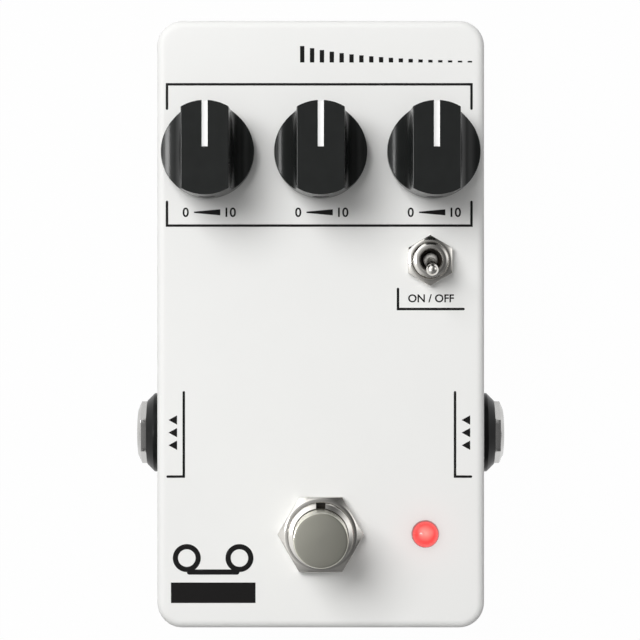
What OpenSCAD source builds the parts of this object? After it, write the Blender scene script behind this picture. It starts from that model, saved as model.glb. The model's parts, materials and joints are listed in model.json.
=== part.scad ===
// Tape echo pedal: a cast box with three dials, a toggle, a foot switch, a lamp,
// two audio jacks in its sides and a power socket in its rear wall.
// X runs across the face, Y runs from the foot switch to the dials, Z is up.
// The origin is under the middle of the box, on the surface that its feet stand on.

/* [Case] */
// Outside width of the case at its open edge
case_w = 60.5; // [60:0.5:64]
// Outside length of the case at its open edge
case_l = 111.6; // [111:0.2:118]
// Height of the cast shell, from its open edge to its face
shell_h = 27.5; // [27:0.5:32]
// Thickness of the side walls
wall = 2.2; // [1.8:0.1:2.4]
// Thickness of the face
face_t = 2.2; // [1.8:0.1:2.6]
// Radius of the upright corners
corner_r = 4.6; // [4.2:0.1:6]
// Rounding between the face and the walls
edge_r = 1.5; // [0.8:0.1:2]
// Lean of each wall, from the open edge to the face
draft = 0.4; // [0.1:0.1:0.8]

/* [Base] */
// Thickness of the base plate
plate_t = 3.5; // [3:0.1:4.5]
// Rounding of the base plate's lower edge
plate_edge_r = 1; // [0.5:0.1:1.5]
// Height of the lip that locates the base plate in the shell
lip_h = 1.6; // [1:0.1:2]
// Thickness of that lip
lip_t = 1.4; // [1:0.1:2]
// Distance of each screw from the two nearest outside faces
screw_inset = 4.8; // [4.6:0.1:5.4]
// Diameter of the screws that hold the base plate
screw_d = 3.5; // [3:0.1:4]
// Diameter of their countersunk heads
screw_head_d = 6.4; // [5.6:0.1:6.8]
// Length of the screws, head included
screw_l = 12; // [9:0.5:14]
// Diameter of the bosses that the screws bite into
boss_d = 7.5; // [6.5:0.1:8]
// Diameter of a foot where it is stuck on
foot_d = 9.5; // [7:0.5:11]
// Height of a foot
foot_h = 3; // [2:0.5:5]
// Distance of the feet from the case's sides
foot_side = 11.25; // [8:0.25:14]
// Distance of the feet from the case's ends
foot_end = 14; // [12.5:0.5:20]

/* [Dials] */
// Distance of the outer dials from the case's sides
dial_side = 9.75; // [9.2:0.05:11.5]
// Distance of the row of dials from the case's rear
dial_rear = 24.5; // [22:0.5:26]
// Diameter of a knob at its foot
knob_d = 16.9; // [15.5:0.1:17.5]
// Height of a knob
knob_h = 14.2; // [12.5:0.1:16]
// Width of the grip bar across a knob's top
bar_w = 8.5; // [7.6:0.1:10]
// Radius of the hollows beside the grip bar
scoop_r = 4.2; // [3.6:0.1:6]
// Height of the round rim under those hollows
rim_knob_h = 2.8; // [2.2:0.1:4]
// Gap between a knob and the face
knob_gap = 0.8; // [0.5:0.1:1.2]
// Width of the pointer line
pointer_w = 1.15; // [0.8:0.05:1.6]
// Diameter of the dial shafts
shaft_d = 6; // [5:0.1:6.2]
// Diameter of the threaded bushings that the shafts turn in
pot_bush_d = 7; // [6.9:0.1:7.4]
// Height of a dial's resistor body, from the board to the face
pot_h = 6.8; // [6.4:0.1:8]

/* [Toggle] */
// Distance of the toggle from the case's side
toggle_side = 10.35; // [9.5:0.05:13]
// Distance of the toggle from the row of dials
toggle_drop = 19.7; // [18:0.1:22]
// Diameter of the toggle's threaded bushing
toggle_bush_d = 6.35; // [6.2:0.05:6.8]
// Height of that bushing over the face
toggle_bush_rise = 5; // [4:0.1:6]
// Width of the toggle's nut across its flats
toggle_nut_af = 8; // [7.8:0.1:9]
// Length of the lever from its pivot to its tip
lever_l = 10; // [8:0.5:13]
// Diameter of the lever's tip
lever_tip_d = 2.2; // [1.8:0.1:2.8]
// Lean of the lever to each side, in degrees
lever_lean = 12; // [8:1:13]

/* [Foot switch] */
// Distance of the foot switch and the lamp from the case's front
foot_switch_front = 17.6; // [16.5:0.1:20]
// Diameter of the foot switch's threaded bushing
fs_bush_d = 12; // [11.6:0.1:13]
// Height of that bushing over the face
fs_bush_rise = 5.6; // [4.5:0.1:8]
// Width of the large nut across its flats
fs_nut_af = 13.6; // [13.4:0.1:16]
// Thickness of the large nut
fs_nut_t = 2.6; // [2:0.1:3.5]
// Diameter of the button
button_d = 9.8; // [9:0.1:10.2]
// Height of the button's top over the face
button_rise = 15.4; // [13:0.1:17]
// Travel of the button
button_travel = 3; // [2:0.1:3.2]

/* [Lamp] */
// Distance of the lamp from the case's side
lamp_side = 11.2; // [9:0.05:13]
// Diameter of the lamp
lamp_d = 5; // [3:0.1:5.4]
// Height of the lamp's dome over the face
lamp_rise = 2.9; // [2:0.1:4]

/* [Jacks] */
// Distance of the audio jacks from the foot switch, along the case
jack_ahead = 17.8; // [17.6:0.1:20]
// Inside diameter of a jack, for a plug of 6.35 mm
jack_bore_d = 6.5; // [6.4:0.05:6.8]
// Outside diameter of a jack's threaded bushing
jack_bush_d = 8.2; // [7.9:0.1:8.8]
// Diameter of the bevelled washer round a jack
jack_washer_d = 14.8; // [13:0.1:16]
// Thickness of that washer
jack_washer_t = 2.4; // [2:0.1:3.5]
// Width of a jack's nut across its flats
jack_nut_af = 10.2; // [9.8:0.1:11]
// Thickness of a jack's nut
jack_nut_t = 1.7; // [1.2:0.1:2.6]
// Depth of a jack's housing inside the case
jack_depth = 24.4; // [20:0.2:25.5]
// Diameter of the hole for the power plug
power_hole_d = 11.4; // [10:0.1:12]
// Diameter of the power socket
power_socket_d = 6.3; // [6:0.1:6.6]
// Diameter of the pin in the power socket
power_pin_d = 2; // [1.9:0.05:2.6]

/* [Hidden] */
$fn = 48;

// Clearances
run = 0.05;
slip = 0.1;
seat_gap = 0.1;
eps = 0.01;

// Levels, from the feet up
plate_z = foot_h;
shell_z = plate_z + plate_t;
face_z = shell_z + shell_h;
under_z = face_z - face_t;
board_top = under_z - pot_h;
board_t = 1.6;
board_z = board_top - board_t;

// Places on the face and in the sides
knob_pitch = case_w / 2 - dial_side;
knob_y = case_l / 2 - dial_rear;
toggle_x = case_w / 2 - toggle_side;
toggle_y = knob_y - toggle_drop;
foot_switch_y = foot_switch_front - case_l / 2;
lamp_x = case_w / 2 - lamp_side;
jack_y = foot_switch_y + jack_ahead;

// Walls of the shell
open_rim_h = 1;
lean_h = shell_h - open_rim_h - edge_r;
function lean(z) = draft * max(0, min(1, (z - shell_z - open_rim_h) / lean_h));
function wall_x(z) = case_w / 2 - lean(z);
function wall_y(z) = case_l / 2 - lean(z);
inner_x = wall_x(under_z) - wall;
inner_y = wall_y(under_z) - wall;

// Bosses and screws
boss_x = case_w / 2 - screw_inset;
boss_y = case_l / 2 - screw_inset;
screw_hole_l = screw_l - plate_t + 1.5;
head_h = (screw_head_d - screw_d) / 2 + 0.4;
head_rim_h = 0.4;

// Parts of a dial
pot_body = [9.8, 11];
pot_frame_t = 1;
pot_rotor_r = 4;
pot_rotor_t = 1;
pot_nut_af = 10;
pot_nut_t = 2;
pot_washer_t = 0.5;
pot_washer_d = 11;
pot_bush_top = face_z + pot_washer_t + pot_nut_t + 0.4;
pot_pin_y = -7;
pot_pin_pitch = 2.5;
knob_z = face_z + knob_gap;
knob_top = knob_z + knob_h;
knob_draft = 0.1;
knob_chamfer = 0.35;
knob_recess_d = pot_nut_af / cos(30) + 1.4;
knob_recess_h = pot_bush_top - knob_z + 0.9;
knob_roof = 2;
set_screw_d = 3;
set_screw_z = knob_z + knob_recess_h + 2.4;
pointer_depth = 0.5;
pointer_foot = 3.2;

// Parts of the toggle
toggle_body = [6.9, 12.7];
toggle_lock_t = 0.5;
toggle_lock_d = 11;
toggle_flange_t = 0.6;
toggle_wall = 0.9;
toggle_nut_t = 2;
toggle_flange_top = under_z - toggle_lock_t;
toggle_bush_top = face_z + toggle_bush_rise;
pivot_depth = 3;
pivot_z = toggle_bush_top - pivot_depth;
ball_r = 1.75;
lever_neck_r = 0.8;
lever_mouth_r = 2;
lever_seat_r = 1.5;
lever_seat_h = sqrt(pow(ball_r + run, 2) - pow(lever_seat_r, 2));
lever_tail_r = 0.8;
lever_tail_l = 6.4;
tail_bore_r = 2.4;
rocker_ratio = 2 / 3;
rocker_l = 8;
rocker_w = 3;
rocker_t = 0.4;
rocker_rod_r = 0.4;
rocker_gap = 0.15;
rocker_top = pivot_z - lever_tail_l - lever_tail_r - rocker_gap;
rocker_axis_z = rocker_top - rocker_t - rocker_rod_r / 2;
contact_y = 3.1;

// Parts of the foot switch
fs_lock_t = 0.6;
fs_lock_d = 16;
fs_back_nut_t = 2.4;
fs_flange_t = 1;
fs_flange_top = under_z - fs_lock_t - fs_back_nut_t;
fs_body = 17;
fs_body_h = 11;
fs_wall = 1.2;
fs_body_z = fs_flange_top - fs_flange_t - fs_body_h;
fs_bush_top = face_z + fs_bush_rise;
button_top = face_z + button_rise;
fs_floor_z = fs_flange_top + 3;
spring_h = button_travel + 2;
button_z = fs_floor_z + spring_h;
stem_r = 2;
stop_z = fs_flange_top - fs_flange_t - seat_gap;
contact_hub_h = 3.5;
contact_hub_r = 3;
contact_disc_r = 5.2;
contact_disc_t = 0.6;
contact_z = stop_z - contact_hub_h;
fixed_contact_top = contact_z - button_travel - seat_gap;
fs_pin_x = 4;
fs_pin_r = 0.6;
key_w = 1.6;
key_depth = min(0.7, (fs_bush_d - button_d) / 2 - 0.25);
spring_wire_r = 0.3;
spring_r = button_d / 2 - 0.9;
spring_turns = 3;

// Board of the foot switch, with the lamp on its leads
switch_board_top = fs_body_z;
switch_board_z = switch_board_top - board_t;
switch_board_edge = 0.5;
switch_board_side = 2.5;
lamp_board_edge = 4;
switch_board_x = [-fs_body / 2 - switch_board_side, lamp_x + lamp_board_edge];
switch_board_y = [
  foot_switch_y - fs_body / 2 - switch_board_edge,
  foot_switch_y + fs_body / 2 + switch_board_edge
];
lamp_flange_r = lamp_d / 2 + 0.4;
lamp_flange_t = 1;
lamp_body_h = 5.1;
lamp_top = face_z + lamp_rise;
lamp_z = lamp_top - lamp_d / 2 - lamp_body_h - lamp_flange_t;
lead_w = 0.5;
lead_pitch = lamp_d / 2;
pin_out = 0.8;

// Parts of a jack
jack_h = 13;
jack_w = 14;
jack_z = board_z - jack_h / 2;
jack_seat = wall_x(jack_z - jack_washer_d / 2);
jack_nut_x = jack_seat + jack_washer_t;
jack_end_x = jack_nut_x + jack_nut_t;
jack_front = wall_x(board_z) - wall - seat_gap;
jack_back = jack_front - jack_depth;
jack_sleeve_l = 5;
jack_bush_x = jack_front - jack_sleeve_l;
jack_bush_end = jack_end_x + 0.25;
jack_nut_hex_t = jack_nut_t * 0.6;
jack_nut_turn = 5;
washer_rim_t = 1;
washer_bevel = jack_washer_t - washer_rim_t;
plug_path_gap = 0.7;
plug_path_d = jack_bore_d + 2 * plug_path_gap;
jack_pin_in = 3.5;
tip_spring_l = 9.2;
tip_spring_w = 3;
tip_spring_t = 0.35;
tip_root = 1;
tip_root_rise = 5.2;
tip_knee = [4.4, 4.2];
tip_dip = [2.6, 2.4];
tip_tail = [0.9, 3.6];
tip_slot_rise = 5.8;
spring_root_x = jack_back + tip_spring_l;

// Parts of the power socket
power_w = 9;
power_l = 14.2;
power_h = 10.8;
power_drop = 6.4;
power_z = board_z - power_drop;
power_front = wall_y(board_z) - wall - seat_gap;
power_socket_l = 9.5;
power_pin_short = 1.2;
power_leaf = [3, power_socket_l - 2, 0.3];
power_leaf_drop = 1.2;
power_pin_in = 1;
power_ground_in = 5.5;
power_switch_in = 8;

// Flat cable between the boards
cable_w = 5;
cable_t = 0.9;
cable_bend = 1.5;
cable_gap = 0.6;
header = [9, 3.5, 4];
header_edge = 2.2;
main_header_y = jack_y + jack_w / 2 + header_edge + header[1] / 2;
switch_header_y = switch_board_y[1] - header_edge / 2 - header[1] / 2;
cable_z = board_z - jack_h - cable_gap - cable_t / 2;

// Circuit on the underside of the main board
board_gap = 0.8;
board_x = inner_x - board_gap;
board_y = [jack_y - jack_w / 2 - 0.4, inner_y - board_gap];
part_gap = 1.4;
leg_pitch = 1.27;
leg_l = 1.3;
chip = [17.8, 7.5, 2.3];
chip_legs = 14;
chip_y = main_header_y + header[1] / 2 + part_gap + leg_l + chip[1] / 2;
small_chip = [3.9, 4.9, 1.5];
small_chip_legs = 4;
small_chip_x = chip[0] / 2 + part_gap + 2 * leg_l + small_chip[0] / 2;
chip_part = [2, 1.2, 0.6];
chip_part_pitch = [3.4, 2.2];
chip_part_y = chip_y + chip[1] / 2 + leg_l + part_gap + chip_part[1] / 2;
can_r = 3.15;
can_h = 5.4;
can_x = 9.5;
can_y = chip_part_y + chip_part_pitch[1] + chip_part[1] / 2 + part_gap + can_r;
rear_can_x = power_w / 2 + part_gap + can_r;
rear_can_y = power_front - power_l + can_r;
cans = [[-can_x, can_y], [can_x, can_y], [-rear_can_x, rear_can_y], [rear_can_x, rear_can_y]];
regulator = [6.5, 3.5, 1.6];
regulator_at = [rear_can_x + can_r + part_gap + regulator[0] / 2, rear_can_y];
pin_r = 0.4;
pin_hole_r = 0.5;

// Shared shapes

// A bar along Z between two levels
module post(r, z0, z1) {
  translate([0, 0, z0]) cylinder(r = r, h = z1 - z0);
}

// A ring along Z between two levels
module ring(r, hole_r, z0, z1) {
  difference() {
    post(r, z0, z1);
    post(hole_r, z0 - 1, z1 + 1);
  }
}

// A box centred on X and Y, between two levels
module block(x, y, z0, z1) {
  translate([-x / 2, -y / 2, z0]) cube([x, y, z1 - z0]);
}

// A hexagonal nut with its upper corners turned off by a shallow cone
module hex_nut(af, t, hole_r) {
  corner = af / 2 / cos(30);
  difference() {
    intersection() {
      cylinder(r = corner, h = t, $fn = 6);
      rotate_extrude()
        polygon([
          [0, 0], [corner + eps, 0], [corner + eps, t - (corner - af / 2) * tan(30)],
          [af / 2 - 0.3, t], [0, t]
        ]);
    }
    translate([0, 0, -1]) cylinder(r = hole_r, h = t + 2);
  }
}

// Puts a shape at the four corners of a rectangle
module at_corners(x, y) {
  for (sx = [-1, 1], sy = [-1, 1]) translate([sx * x, sy * y, 0]) children();
}

// Puts a shape at each dial
module at_dials() {
  for (i = [-1, 0, 1]) at_dial(i) children();
}

module at_dial(i) {
  translate([i * knob_pitch, knob_y, 0]) children();
}

module at_toggle() {
  translate([toggle_x, toggle_y, 0]) children();
}

module at_foot_switch() {
  translate([0, foot_switch_y, 0]) children();
}

module at_lamp() {
  translate([lamp_x, foot_switch_y, 0]) children();
}

// Lays a shape that was drawn along Z along X, on a jack's axis; side is 1 or -1
module along_jack(side) {
  translate([0, jack_y, jack_z]) rotate([0, side * 90, 0]) children();
}

// A closed tube along a list of points, each with its own pair of cross directions
module tube(points, across, up, r, sides) {
  n = len(points);
  ring_points = [
    for (i = [0:n - 1], k = [0:sides - 1])
      points[i] + r * cos(360 * k / sides) * across[i] + r * sin(360 * k / sides) * up[i]
  ];
  walls = [
    for (i = [0:n - 2], k = [0:sides - 1], half = [0, 1])
      let (
        a = i * sides + k,
        b = i * sides + (k + 1) % sides
      )
      half == 0 ? [a, b, b + sides] : [a, b + sides, a + sides]
  ];
  caps = [
    [for (k = [sides - 1:-1:0]) k],
    [for (k = [0:sides - 1]) (n - 1) * sides + k]
  ];
  polyhedron(points = ring_points, faces = concat(walls, caps));
}

// Case

module shell_outside() {
  hull() {
    at_corners(case_w / 2 - corner_r, case_l / 2 - corner_r)
      translate([0, 0, shell_z]) cylinder(r = corner_r, h = open_rim_h, $fn = 32);
    at_corners(case_w / 2 - draft - corner_r, case_l / 2 - draft - corner_r)
      translate([0, 0, face_z - edge_r])
        rotate_extrude($fn = 32) translate([corner_r - edge_r, 0]) circle(r = edge_r, $fn = 32);
  }
}

module shell_inside() {
  inside_r = corner_r - wall;
  hull() {
    at_corners(case_w / 2 - corner_r, case_l / 2 - corner_r)
      translate([0, 0, shell_z - 1]) cylinder(r = inside_r, h = open_rim_h + 1, $fn = 32);
    at_corners(inner_x - inside_r, inner_y - inside_r)
      translate([0, 0, under_z - eps]) cylinder(r = inside_r, h = eps, $fn = 32);
  }
}

module case_shell() color("white") {
  difference() {
    union() {
      difference() {
        shell_outside();
        shell_inside();
      }
      at_corners(boss_x, boss_y) post(boss_d / 2, shell_z, under_z + eps);
    }
    at_corners(boss_x, boss_y) post(screw_d / 2 + run, shell_z - 1, shell_z + screw_hole_l);
    at_dials() post(pot_bush_d / 2 + slip, under_z - 1, face_z + 1);
    at_toggle() post(toggle_bush_d / 2 + slip, under_z - 1, face_z + 1);
    at_foot_switch() post(fs_bush_d / 2 + slip, under_z - 1, face_z + 1);
    at_lamp() post(lamp_d / 2 + slip, under_z - 1, face_z + 1);
    for (side = [-1, 1]) along_jack(side) post(jack_bush_d / 2 + slip, jack_front - 2, jack_seat + 2);
    translate([0, power_front - 1, power_z]) rotate([-90, 0, 0])
      cylinder(d = power_hole_d, h = wall + 3);
  }
}

module base_plate() color("white") {
  lip_x = case_w / 2 - wall - 2 * slip;
  lip_y = case_l / 2 - wall - 2 * slip;
  lip_clear = screw_inset + boss_d / 2 + 1;
  difference() {
    union() {
      hull() {
        at_corners(case_w / 2 - corner_r, case_l / 2 - corner_r) {
          translate([0, 0, plate_z + plate_edge_r])
            rotate_extrude($fn = 32)
              translate([corner_r - plate_edge_r, 0]) circle(r = plate_edge_r, $fn = 32);
          translate([0, 0, plate_z + plate_edge_r])
            cylinder(r = corner_r, h = plate_t - plate_edge_r, $fn = 32);
        }
      }
      for (side = [-1, 1]) {
        translate([side * (lip_x - lip_t / 2), 0, 0])
          block(lip_t, case_l - 2 * lip_clear, shell_z - eps, shell_z + lip_h);
        translate([0, side * (lip_y - lip_t / 2), 0])
          block(case_w - 2 * lip_clear, lip_t, shell_z - eps, shell_z + lip_h);
      }
    }
    at_corners(boss_x, boss_y) {
      post(screw_d / 2 + slip, plate_z - 1, shell_z + 1);
      translate([0, 0, plate_z - eps]) cylinder(d = screw_head_d + 2 * slip, h = head_rim_h + eps);
      translate([0, 0, plate_z + head_rim_h])
        cylinder(d1 = screw_head_d + 2 * slip, d2 = screw_d + 2 * slip, h = head_h - head_rim_h);
    }
  }
}

module base_screws() color("silver") {
  recess_w = screw_head_d / 6;
  recess_l = screw_head_d * 0.62;
  recess_h = head_h * 0.75;
  at_corners(boss_x, boss_y) difference() {
    union() {
      post(screw_head_d / 2, plate_z, plate_z + head_rim_h);
      translate([0, 0, plate_z + head_rim_h])
        cylinder(d1 = screw_head_d, d2 = screw_d, h = head_h - head_rim_h);
      post(screw_d / 2, plate_z + head_h - eps, plate_z + screw_l);
    }
    block(recess_w, recess_l, plate_z - 1, plate_z + recess_h);
    block(recess_l, recess_w, plate_z - 1, plate_z + recess_h);
  }
}

module rubber_feet() color("dimgray") {
  foot_round = 0.8;
  foot_taper = 0.5;
  at_corners(case_w / 2 - foot_side, case_l / 2 - foot_end)
    rotate_extrude() {
      polygon([
        [0, 0], [foot_d / 2 - foot_taper - foot_round, 0],
        [foot_d / 2 - foot_taper, foot_round], [foot_d / 2, foot_h], [0, foot_h]
      ]);
    }
}

// Boards

// Places of the pins that pass through the main board
function dial_pins() = [
  for (i = [-1, 0, 1], k = [-1, 0, 1])
    [i * knob_pitch + k * pot_pin_pitch, knob_y + pot_pin_y]
];
function toggle_pin_places() = [for (k = [-1, 0, 1]) [toggle_x, toggle_y + k * contact_y]];
function jack_pin_places() = [
  for (side = [-1, 1], x = [jack_front - jack_pin_in, spring_root_x]) [side * x, jack_y]
];
function power_pin_places() = [
  [0, power_front - power_l + power_pin_in], [0, power_front - power_ground_in],
  [power_pin_in - power_w / 2, power_front - power_switch_in]
];

module main_board() color("darkgreen") {
  difference() {
    translate([-board_x, board_y[0], board_z])
      cube([2 * board_x, board_y[1] - board_y[0], board_t]);
    at_corners(boss_x, boss_y) post(boss_d / 2 + board_gap, board_z - 1, board_top + 1);
    for (p = concat(dial_pins(), toggle_pin_places(), jack_pin_places(), power_pin_places()))
      translate(p) post(pin_hole_r, board_z - 1, board_top + 1);
  }
}

// A flat chip under the main board, with a row of legs on each long side
module chip_under(size, legs, pitch) {
  leg_w = pitch / 3;
  leg_t = size[2] / 9;
  stand = leg_t / 2;
  long_x = size[0] > size[1];
  block(size[0], size[1], board_z - size[2], board_z - stand);
  for (side = [-1, 1], k = [0:legs - 1]) {
    along = (k - (legs - 1) / 2) * pitch;
    out = side * ((long_x ? size[1] : size[0]) / 2 + leg_l / 2);
    translate(long_x ? [along, out, 0] : [out, along, 0])
      block(long_x ? leg_w : leg_l, long_x ? leg_l : leg_w, board_z - leg_t, board_z);
  }
}

module delay_chip() color("black") {
  translate([0, chip_y]) chip_under(chip, chip_legs, leg_pitch);
}

module amplifier_chips() color("black") {
  for (side = [-1, 1]) translate([side * small_chip_x, chip_y])
    chip_under(small_chip, small_chip_legs, leg_pitch);
}

module voltage_regulator() color("black") {
  tab_t = 0.3;
  tab_l = 1.6;
  translate(regulator_at) {
    block(regulator[0], regulator[1], board_z - regulator[2], board_z - tab_t);
    block(regulator[0] / 2, regulator[1] + 2 * tab_l, board_z - tab_t, board_z);
  }
}

module electrolytic_capacitors() color("silver") {
  base_t = 0.8;
  for (p = cans) translate(p) {
    post(can_r, board_z - can_h, board_z - base_t);
    block(2 * can_r, 2 * can_r, board_z - base_t, board_z);
  }
}

module chip_components() color("tan") {
  for (row = [0, 1], k = [-3:3])
    translate([k * chip_part_pitch[0], chip_part_y + row * chip_part_pitch[1]])
      block(chip_part[0], chip_part[1], board_z - chip_part[2], board_z);
}

module switch_board() color("darkgreen") {
  difference() {
    translate([switch_board_x[0], switch_board_y[0], switch_board_z])
      cube([switch_board_x[1] - switch_board_x[0], switch_board_y[1] - switch_board_y[0], board_t]);
    at_foot_switch() for (side = [-1, 1])
      translate([side * fs_pin_x, 0]) post(fs_pin_r + slip, switch_board_z - 1, switch_board_top + 1);
    at_lamp() for (side = [-1, 1])
      translate([side * lead_pitch / 2, 0]) post(lead_w, switch_board_z - 1, switch_board_top + 1);
  }
}

// The flat cable runs down from the main board, under the jacks, and up to the switch board
module ribbon_cable() color("lightgray") {
  low = cable_z;
  rise = cable_bend;
  legs = [
    [main_header_y, board_z - header[2], 1],
    [switch_header_y, switch_board_z - header[2], -1]
  ];
  rotate([90, 0, 90]) translate([0, 0, -cable_w / 2]) linear_extrude(cable_w) {
    for (leg = legs) {
      translate([leg[0] - cable_t / 2, low + rise]) square([cable_t, leg[1] - low - rise]);
      translate([leg[0] - leg[2] * rise, low + rise]) intersection() {
        difference() {
          circle(r = rise + cable_t / 2);
          circle(r = rise - cable_t / 2);
        }
        translate([leg[2] > 0 ? 0 : -2 * rise, -2 * rise]) square([2 * rise, 2 * rise]);
      }
    }
    translate([switch_header_y + rise, low - cable_t / 2])
      square([main_header_y - switch_header_y - 2 * rise, cable_t]);
  }
}

module ribbon_headers() color("ivory") {
  translate([0, main_header_y]) block(header[0], header[1], board_z - header[2], board_z);
  translate([0, switch_header_y])
    block(header[0], header[1], switch_board_z - header[2], switch_board_z);
}

// Power socket

module along_power(y) {
  translate([0, y, power_z]) rotate([-90, 0, 0]) children();
}

module power_jack_housing() color("black") {
  slot = [power_leaf[0] + 4 * slip, power_leaf[1] + 4 * slip, power_leaf_drop];
  difference() {
    translate([-power_w / 2, power_front - power_l, board_z - power_h]) cube([power_w, power_l, power_h]);
    along_power(power_front - power_socket_l) cylinder(d = power_socket_d, h = power_socket_l + 1);
    translate([-slot[0] / 2, power_front - power_socket_l, power_z - power_socket_d / 2 - slot[2]])
      cube([slot[0], slot[1], slot[2] + power_socket_d / 4]);
  }
}

module power_jack_pin() color("silver") {
  point = 0.4;
  along_power(power_front - power_socket_l) {
    cylinder(d = power_pin_d, h = power_socket_l - power_pin_short - point);
    translate([0, 0, power_socket_l - power_pin_short - point])
      cylinder(d1 = power_pin_d, d2 = power_pin_d - 2 * point, h = point);
  }
}

module power_jack_contacts() color("gold") {
  for (p = power_pin_places()) translate(p) post(pin_r, board_z, board_top + pin_out);
  leaf_z = power_z - power_socket_d / 2 - power_leaf_drop;
  translate([-power_leaf[0] / 2, power_front - power_socket_l + 2 * slip, leaf_z]) cube(power_leaf);
}

// Dials

module pot_frames() color("silver") {
  at_dials() difference() {
    union() {
      block(pot_body[0], pot_body[1], under_z - pot_frame_t, under_z);
      post(pot_bush_d / 2, under_z - eps, pot_bush_top);
    }
    post(shaft_d / 2 + run, under_z - pot_frame_t - 1, pot_bush_top + 1);
  }
}

module pot_bases() color("saddlebrown") {
  at_dials() difference() {
    block(pot_body[0], pot_body[1], board_top, under_z - pot_frame_t);
    post(pot_rotor_r + slip, board_top + 1.5, under_z);
  }
}

// Each pin stands on the board's top, bends under the dial's body and passes through the board
module pot_pins() color("gold") {
  foot_l = pin_r - pot_pin_y - pot_body[1] / 2;
  foot_t = 0.3;
  for (p = dial_pins()) translate(p) {
    post(pin_r, board_z - pin_out, board_top);
    translate([-pin_r, -pin_r, board_top]) cube([2 * pin_r, foot_l, foot_t]);
  }
}

module pot_nuts() color("silver") {
  at_dials() translate([0, 0, face_z + pot_washer_t])
    hex_nut(pot_nut_af, pot_nut_t, pot_bush_d / 2 + run);
}

module pot_washers() color("silver") {
  at_dials() ring(pot_washer_d / 2, pot_bush_d / 2 + slip, face_z, face_z + pot_washer_t);
}

// Outside of a knob before its hollows are cut
module knob_round() {
  top_r = knob_d / 2 - knob_draft;
  rotate_extrude()
    polygon([
      [0, knob_z], [knob_d / 2 - knob_chamfer / 2, knob_z], [knob_d / 2, knob_z + knob_chamfer / 2],
      [top_r, knob_top - knob_chamfer], [top_r - knob_chamfer, knob_top], [0, knob_top]
    ]);
}

// The hollow on one side of the grip bar, open to the side and to the top
module knob_scoop(side) {
  reach = knob_d;
  low = knob_z + rim_knob_h;
  rotate([90, 0, 0]) translate([0, 0, -reach]) linear_extrude(2 * reach) {
    translate([side * (bar_w / 2 + scoop_r), low + scoop_r]) circle(r = scoop_r);
    translate([side > 0 ? bar_w / 2 : -bar_w / 2 - reach, low + scoop_r])
      square([reach, knob_h]);
    translate([side > 0 ? bar_w / 2 + scoop_r : -bar_w / 2 - scoop_r - reach, low])
      square([reach, knob_h]);
  }
}

// The white line: along the top from the middle to the rim, then down the end of the grip bar
module pointer_strip(grow) {
  w = pointer_w + 2 * grow;
  reach = knob_d;
  translate([-w / 2, -grow, knob_top - pointer_depth - grow]) cube([w, reach, knob_h]);
  translate([-w / 2, knob_d / 2 - knob_draft - pointer_depth - grow, knob_z + pointer_foot - grow])
    cube([w, reach, knob_h]);
}

module knob() color("#202122") {
  difference() {
    knob_round();
    knob_scoop(-1);
    knob_scoop(1);
    post(knob_recess_d / 2, knob_z - 1, knob_z + knob_recess_h);
    post(shaft_d / 2 + run / 2, knob_z, knob_top - knob_roof);
    translate([0, 0, set_screw_z]) rotate([90, 0, 0]) cylinder(d = set_screw_d + run, h = knob_d);
    pointer_strip(run / 2);
  }
}

module pointer() color("white") {
  intersection() {
    knob_round();
    pointer_strip(0);
  }
}

module set_screw() color("goldenrod") {
  recess = [0.5, 1.2];
  screw_end = knob_d / 2 - 1.2;
  screw_start = shaft_d / 2 + run / 2;
  translate([0, 0, set_screw_z]) rotate([90, 0, 0]) difference() {
    translate([0, 0, screw_start]) cylinder(d = set_screw_d, h = screw_end - screw_start);
    translate([-set_screw_d, -recess[0] / 2, screw_end - recess[1]])
      cube([2 * set_screw_d, recess[0], recess[1] + 1]);
  }
}

// A dial's shaft with the rotor that carries its wiper
module shaft() color("silver") {
  rotor_top = under_z - pot_frame_t - seat_gap;
  post(shaft_d / 2, rotor_top - eps, knob_top - knob_roof - seat_gap);
  post(pot_rotor_r, rotor_top - pot_rotor_t, rotor_top);
}

// Toggle

module toggle_body() color("firebrick") {
  top = toggle_flange_top - toggle_flange_t;
  inside = [toggle_body[0] - 2 * toggle_wall, toggle_body[1] - 2 * toggle_wall];
  at_toggle() difference() {
    block(toggle_body[0], toggle_body[1], board_top, top);
    block(inside[0], inside[1], board_top + toggle_wall, top + 1);
    for (k = [-1, 0, 1]) translate([0, k * contact_y]) post(pin_hole_r, board_top - 1, top);
  }
}

module toggle_bushing() color("silver") {
  chamfer = 0.45;
  bush_r = toggle_bush_d / 2;
  at_toggle() difference() {
    union() {
      block(toggle_body[0], toggle_body[1], toggle_flange_top - toggle_flange_t, toggle_flange_top);
      post(bush_r, toggle_flange_top - eps, toggle_bush_top - chamfer);
      translate([0, 0, toggle_bush_top - chamfer])
        cylinder(r1 = bush_r, r2 = bush_r - chamfer, h = chamfer);
    }
    post(lever_mouth_r, pivot_z + lever_seat_h + 0.3, toggle_bush_top + 1);
    post(lever_seat_r, pivot_z, toggle_bush_top);
    translate([0, 0, pivot_z]) sphere(r = ball_r + run);
    post(ball_r + run, face_z - 0.4, pivot_z);
    post(tail_bore_r, toggle_flange_top - 1, face_z - 0.4);
  }
}

// The lever stands upright here, with its pivot at the origin
module lever_upright() {
  tip_r = lever_tip_d / 2;
  sphere(r = ball_r);
  rotate_extrude()
    polygon([
      [0, 0], [lever_neck_r, 0], [lever_neck_r, ball_r + 1],
      [tip_r, lever_l - 2 * tip_r], [tip_r, lever_l - tip_r], [0, lever_l - tip_r]
    ]);
  translate([0, 0, lever_l - tip_r]) sphere(r = tip_r);
  post(lever_tail_r, -lever_tail_l, 0);
  translate([0, 0, -lever_tail_l]) sphere(r = lever_tail_r);
}

// At rest the lever leans towards the foot switch
module toggle_lever() color("silver") {
  at_toggle() translate([0, 0, pivot_z]) rotate([lever_lean, 0, 0]) lever_upright();
}

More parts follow.
